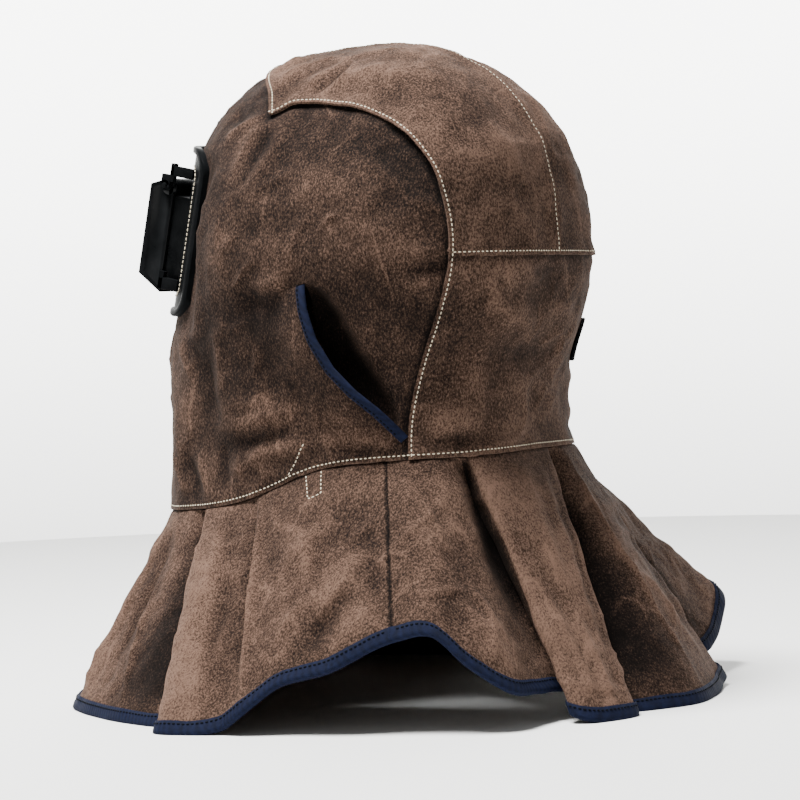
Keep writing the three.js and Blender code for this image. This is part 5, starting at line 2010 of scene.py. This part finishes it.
class HOOD_OT_lens_holder(bpy.types.Operator):
    """Moulds the lens plate with its rim and arms, and finishes the frames and lenses"""

    bl_idname = "hood.lens_holder"
    bl_label = "Lens holder"

    def execute(self, context):
        self.plate(moulded_plastic("black matt nylon", 0.006, 0.32))
        plastic = moulded_plastic("black satin nylon", 0.06, 0.26)
        for node, name, body, bevel in (
            ("base_frame", "base_moulding", "hood", 0.5),
            ("flip_frame", "flip_moulding", "flip_front", 0.9),
            ("hinge_pin_left", "hinge_rivet_left", "hood", 0.4),
            ("hinge_pin_right", "hinge_rivet_right", "hood", 0.4),
        ):
            made = refined(node, bevel)
            if node == "flip_frame":
                self.panelled(made)
            sew(bmesh_object(name, made, plastic), body, "black_plastic", node)
        for node, material in (
            ("cover_lens", lens_glass("clear cover glass", linear("#eef3f0"), 0.9)),
            ("shade_lens", lens_glass("dark green shade glass", linear("#0d150e"), 0.0)),
        ):
            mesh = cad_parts[node].data
            mesh.materials.clear()
            mesh.materials.append(material)
        self.plate_stitches()
        return {"FINISHED"}

    def plate(self, plastic):
        """The curved flange with a rolled rim, in rings from its edge to its window and back."""
        rings = [
            plate_place(plate_outline(inset, max(PLATE_CORNER - inset, 3)), out) for inset, out in PLATE_RIM
        ]
        start = plate_outline(RIM_WIDE, PLATE_CORNER - RIM_WIDE)
        stop = rounded_outline(BASE_HALF, BASE_LOW, BASE_HIGH, WINDOW_CORNER, PLATE_POINTS)
        for out, shares in ((0.0, np.linspace(0.15, 1, 8)), (-PLATE_THICK, np.linspace(1, 0, 6))):
            rings.extend(plate_place(start + (stop - start) * share, out) for share in shares)
        faces = grid_faces(len(rings), PLATE_POINTS, ring_rows=True, ring_cols=True)
        flange = mesh_object("plate_flange", np.concatenate(rings), faces, plastic, sharp=50)
        made = bmesh.new()
        made.from_mesh(flange.data)
        near, far = BOX_HALF + ARM_FROM, BOX_HALF + ARM_TO
        for across in ((near, far), (-far, -near)):
            for out, up in ARM_BARS:
                arm_block(made, across, out, up)
            arm_ear(made, across)
        bpy.data.objects.remove(flange)
        sew(bmesh_object("plate_moulding", made, plastic, 45), "hood", "black_plastic", "lens_plate")

    def panelled(self, made):
        """Sinks the middle of each end of the flip frame, which leaves a raised border."""
        made.normal_update()
        ends = [f for f in made.faces if abs(f.normal.x) > 0.99 and f.calc_area() > END_AREA * MM * MM]
        bmesh.ops.inset_individual(made, faces=ends, thickness=END_BORDER * MM, depth=0)
        bmesh.ops.inset_individual(made, faces=ends, thickness=END_SLOPE * MM, depth=-END_DEEP * MM)

    def plate_stitches(self):
        """The row that sews the plate to the leather."""
        ring = plate_outline(STITCH_RING, STITCH_CORNER, 400)
        ring = np.concatenate([ring, ring[:1]])
        line = plate_place(ring, 0.2)
        ups = unit(plate_place(ring, 3.0) - plate_place(ring, 0.0))
        made = sew_line(Ground("plate_moulding"), line, ups, PLATE_STITCH)
        sew(mesh_object("plate_thread", *joined([made]), off_white_thread()), "hood", "suede")


# Stage

# Camera: direction, rise, roll, distance and lens, and the pixel of the frame that it aims at
VIEW_AZIMUTH = math.radians(121)
VIEW_RISE = math.radians(1.5)
VIEW_ROLL = math.radians(-2)
VIEW_FAR = 1.9
VIEW_AIM = Vector((0, 0, 0.205))
VIEW_LENS = 128.25
SENSOR_WIDE = 36
IMAGE_SIDE = 800
AIM_PIXEL = (394, 385)
# Key light: place to the left of the view, toward it and up, aim, side and power
KEY_LEFT, KEY_TOWARD, KEY_UP = 0.52, 0.25, 2.0
KEY_AIM = Vector((0, 0, 0.22))
KEY_SIDE = 0.7
KEY_POWER = 150
# Lit wall behind the hood: its light and the room's, where it fades to the sides, and its share by the floor
WALL_GLOW = 8.0
ROOM_GLOW = 0.2
WALL_SIDES = (0.5, 0.94)
WALL_RISE = (-0.16, 0.14)
FLOOR_SHARE = 0.26
FLOOR_FAR = 1.5
FLOOR_POINTS = 96


def view_axes():
    """Directions to the right of the view, up it and back from it."""
    level = Vector((math.sin(VIEW_AZIMUTH), -math.cos(VIEW_AZIMUTH), 0))
    back = level * math.cos(VIEW_RISE) + Vector((0, 0, math.sin(VIEW_RISE)))
    right = Vector((math.cos(VIEW_AZIMUTH), math.sin(VIEW_AZIMUTH), 0))
    up = back.cross(right)
    c, s = math.cos(VIEW_ROLL), math.sin(VIEW_ROLL)
    return right * c + up * s, up * c - right * s, back


class HOOD_OT_stage(bpy.types.Operator):
    """Sets the pale floor, the studio light and the camera"""

    bl_idname = "hood.stage"
    bl_label = "Stage"

    def execute(self, context):
        self.floor()
        right, up, back = view_axes()
        across = Vector((right.x, right.y, 0)).normalized()
        toward = Vector((back.x, back.y, 0)).normalized()
        self.key_light(Vector((0, 0, KEY_UP)) - across * KEY_LEFT + toward * KEY_TOWARD)
        self.world(-toward)
        self.camera(right, up, back)
        return {"FINISHED"}

    def floor(self):
        """Pale studio paper: even and matt."""
        mesh = bpy.data.meshes.new("pale floor")
        turns = np.arange(FLOOR_POINTS) * math.tau / FLOOR_POINTS
        ring = [(FLOOR_FAR * math.cos(a), FLOOR_FAR * math.sin(a), 0) for a in turns]
        mesh.from_pydata(ring, [], [tuple(range(FLOOR_POINTS))])
        finish = {"Base Color": rgba(colours().floor), "Roughness": 0.9, "Specular IOR Level": 0.1}
        mesh.materials.append(made_once("pale studio paper", lambda node: finish))
        return link_object("pale floor", mesh)

    def key_light(self, place):
        """A soft square light above the hood, on the left of the view."""
        data = bpy.data.lights.new("key", "AREA")
        data.shape = "RECTANGLE"
        data.size = data.size_y = KEY_SIDE
        data.energy = KEY_POWER
        lamp = link_object("key", data)
        lamp.location = place
        lamp.rotation_euler = (KEY_AIM - place).to_track_quat("-Z", "Y").to_euler()

    def world(self, behind):
        """A lit white wall behind the hood, and a dim room in front of it and above it."""
        world = bpy.data.worlds.new("studio wall")
        world.use_nodes = True
        place = add_node(world, "ShaderNodeTexCoord").outputs["Generated"]
        facing = add_node(world, "ShaderNodeVectorMath", {0: place, 1: behind}, operation="DOT_PRODUCT")
        rise = add_node(world, "ShaderNodeSeparateXYZ", {"Vector": place})
        glow, share = (
            add_node(
                world,
                "ShaderNodeMapRange",
                {"Value": value, "From Min": ends[0], "From Max": ends[1], "To Min": low, "To Max": high},
                interpolation_type="SMOOTHSTEP",
            ).outputs[0]
            for value, ends, low, high in (
                (facing.outputs["Value"], WALL_SIDES, ROOM_GLOW, WALL_GLOW),
                (rise.outputs["Z"], WALL_RISE, FLOOR_SHARE, 1.0),
            )
        )
        glow = add_node(world, "ShaderNodeMath", {0: glow, 1: share}, operation="MULTIPLY").outputs[0]
        sky = world.node_tree.nodes["Background"]
        sky.inputs["Color"].default_value = rgba(linear("#fdfdfb"))
        world.node_tree.links.new(glow, sky.inputs["Strength"])
        bpy.context.scene.world = world

    def camera(self, right, up, back):
        data = bpy.data.cameras.new("view")
        data.lens = VIEW_LENS
        data.sensor_width = SENSOR_WIDE
        data.shift_x = (IMAGE_SIDE / 2 - AIM_PIXEL[0]) / IMAGE_SIDE
        data.shift_y = (AIM_PIXEL[1] - IMAGE_SIDE / 2) / IMAGE_SIDE
        data.clip_start = 0.05
        camera = link_object("view", data)
        turn = Matrix((right, up, back)).transposed().to_4x4()
        camera.matrix_world = Matrix.Translation(VIEW_AIM + back * VIEW_FAR) @ turn
        bpy.context.scene.camera = camera


class HOOD_PT_panel(bpy.types.Panel):
    """Lists the pieces of the hood"""

    bl_idname = "HOOD_PT_panel"
    bl_label = "Leather welding hood"
    bl_space_type = "VIEW_3D"
    bl_region_type = "UI"
    bl_category = "Hood"

    def draw(self, context):
        for step in STEPS:
            self.layout.operator(f"hood.{step}")
        for group in (context.scene.hood_sizes, context.scene.hood_colours):
            box = self.layout.box()
            for name in group.__annotations__:
                box.prop(group, name)


STEPS = (
    "stage",
    "head_panels",
    "cape",
    "vent_bindings",
    "neck_tab",
    "lens_holder",
    "stitching",
)
CLASSES = (
    HoodSizes,
    HoodColours,
    HOOD_OT_stage,
    HOOD_OT_head_panels,
    HOOD_OT_cape,
    HOOD_OT_vent_bindings,
    HOOD_OT_neck_tab,
    HOOD_OT_lens_holder,
    HOOD_OT_stitching,
    HOOD_PT_panel,
)


def register():
    for cls in CLASSES:
        bpy.utils.register_class(cls)
    bpy.types.Scene.hood_sizes = PointerProperty(type=HoodSizes)
    bpy.types.Scene.hood_colours = PointerProperty(type=HoodColours)


def unregister():
    del bpy.types.Scene.hood_colours
    del bpy.types.Scene.hood_sizes
    for cls in reversed(CLASSES):
        bpy.utils.unregister_class(cls)


def main():
    register()
    for step in STEPS:
        getattr(bpy.ops.hood, step)()


if __name__ == "__main__":
    main()
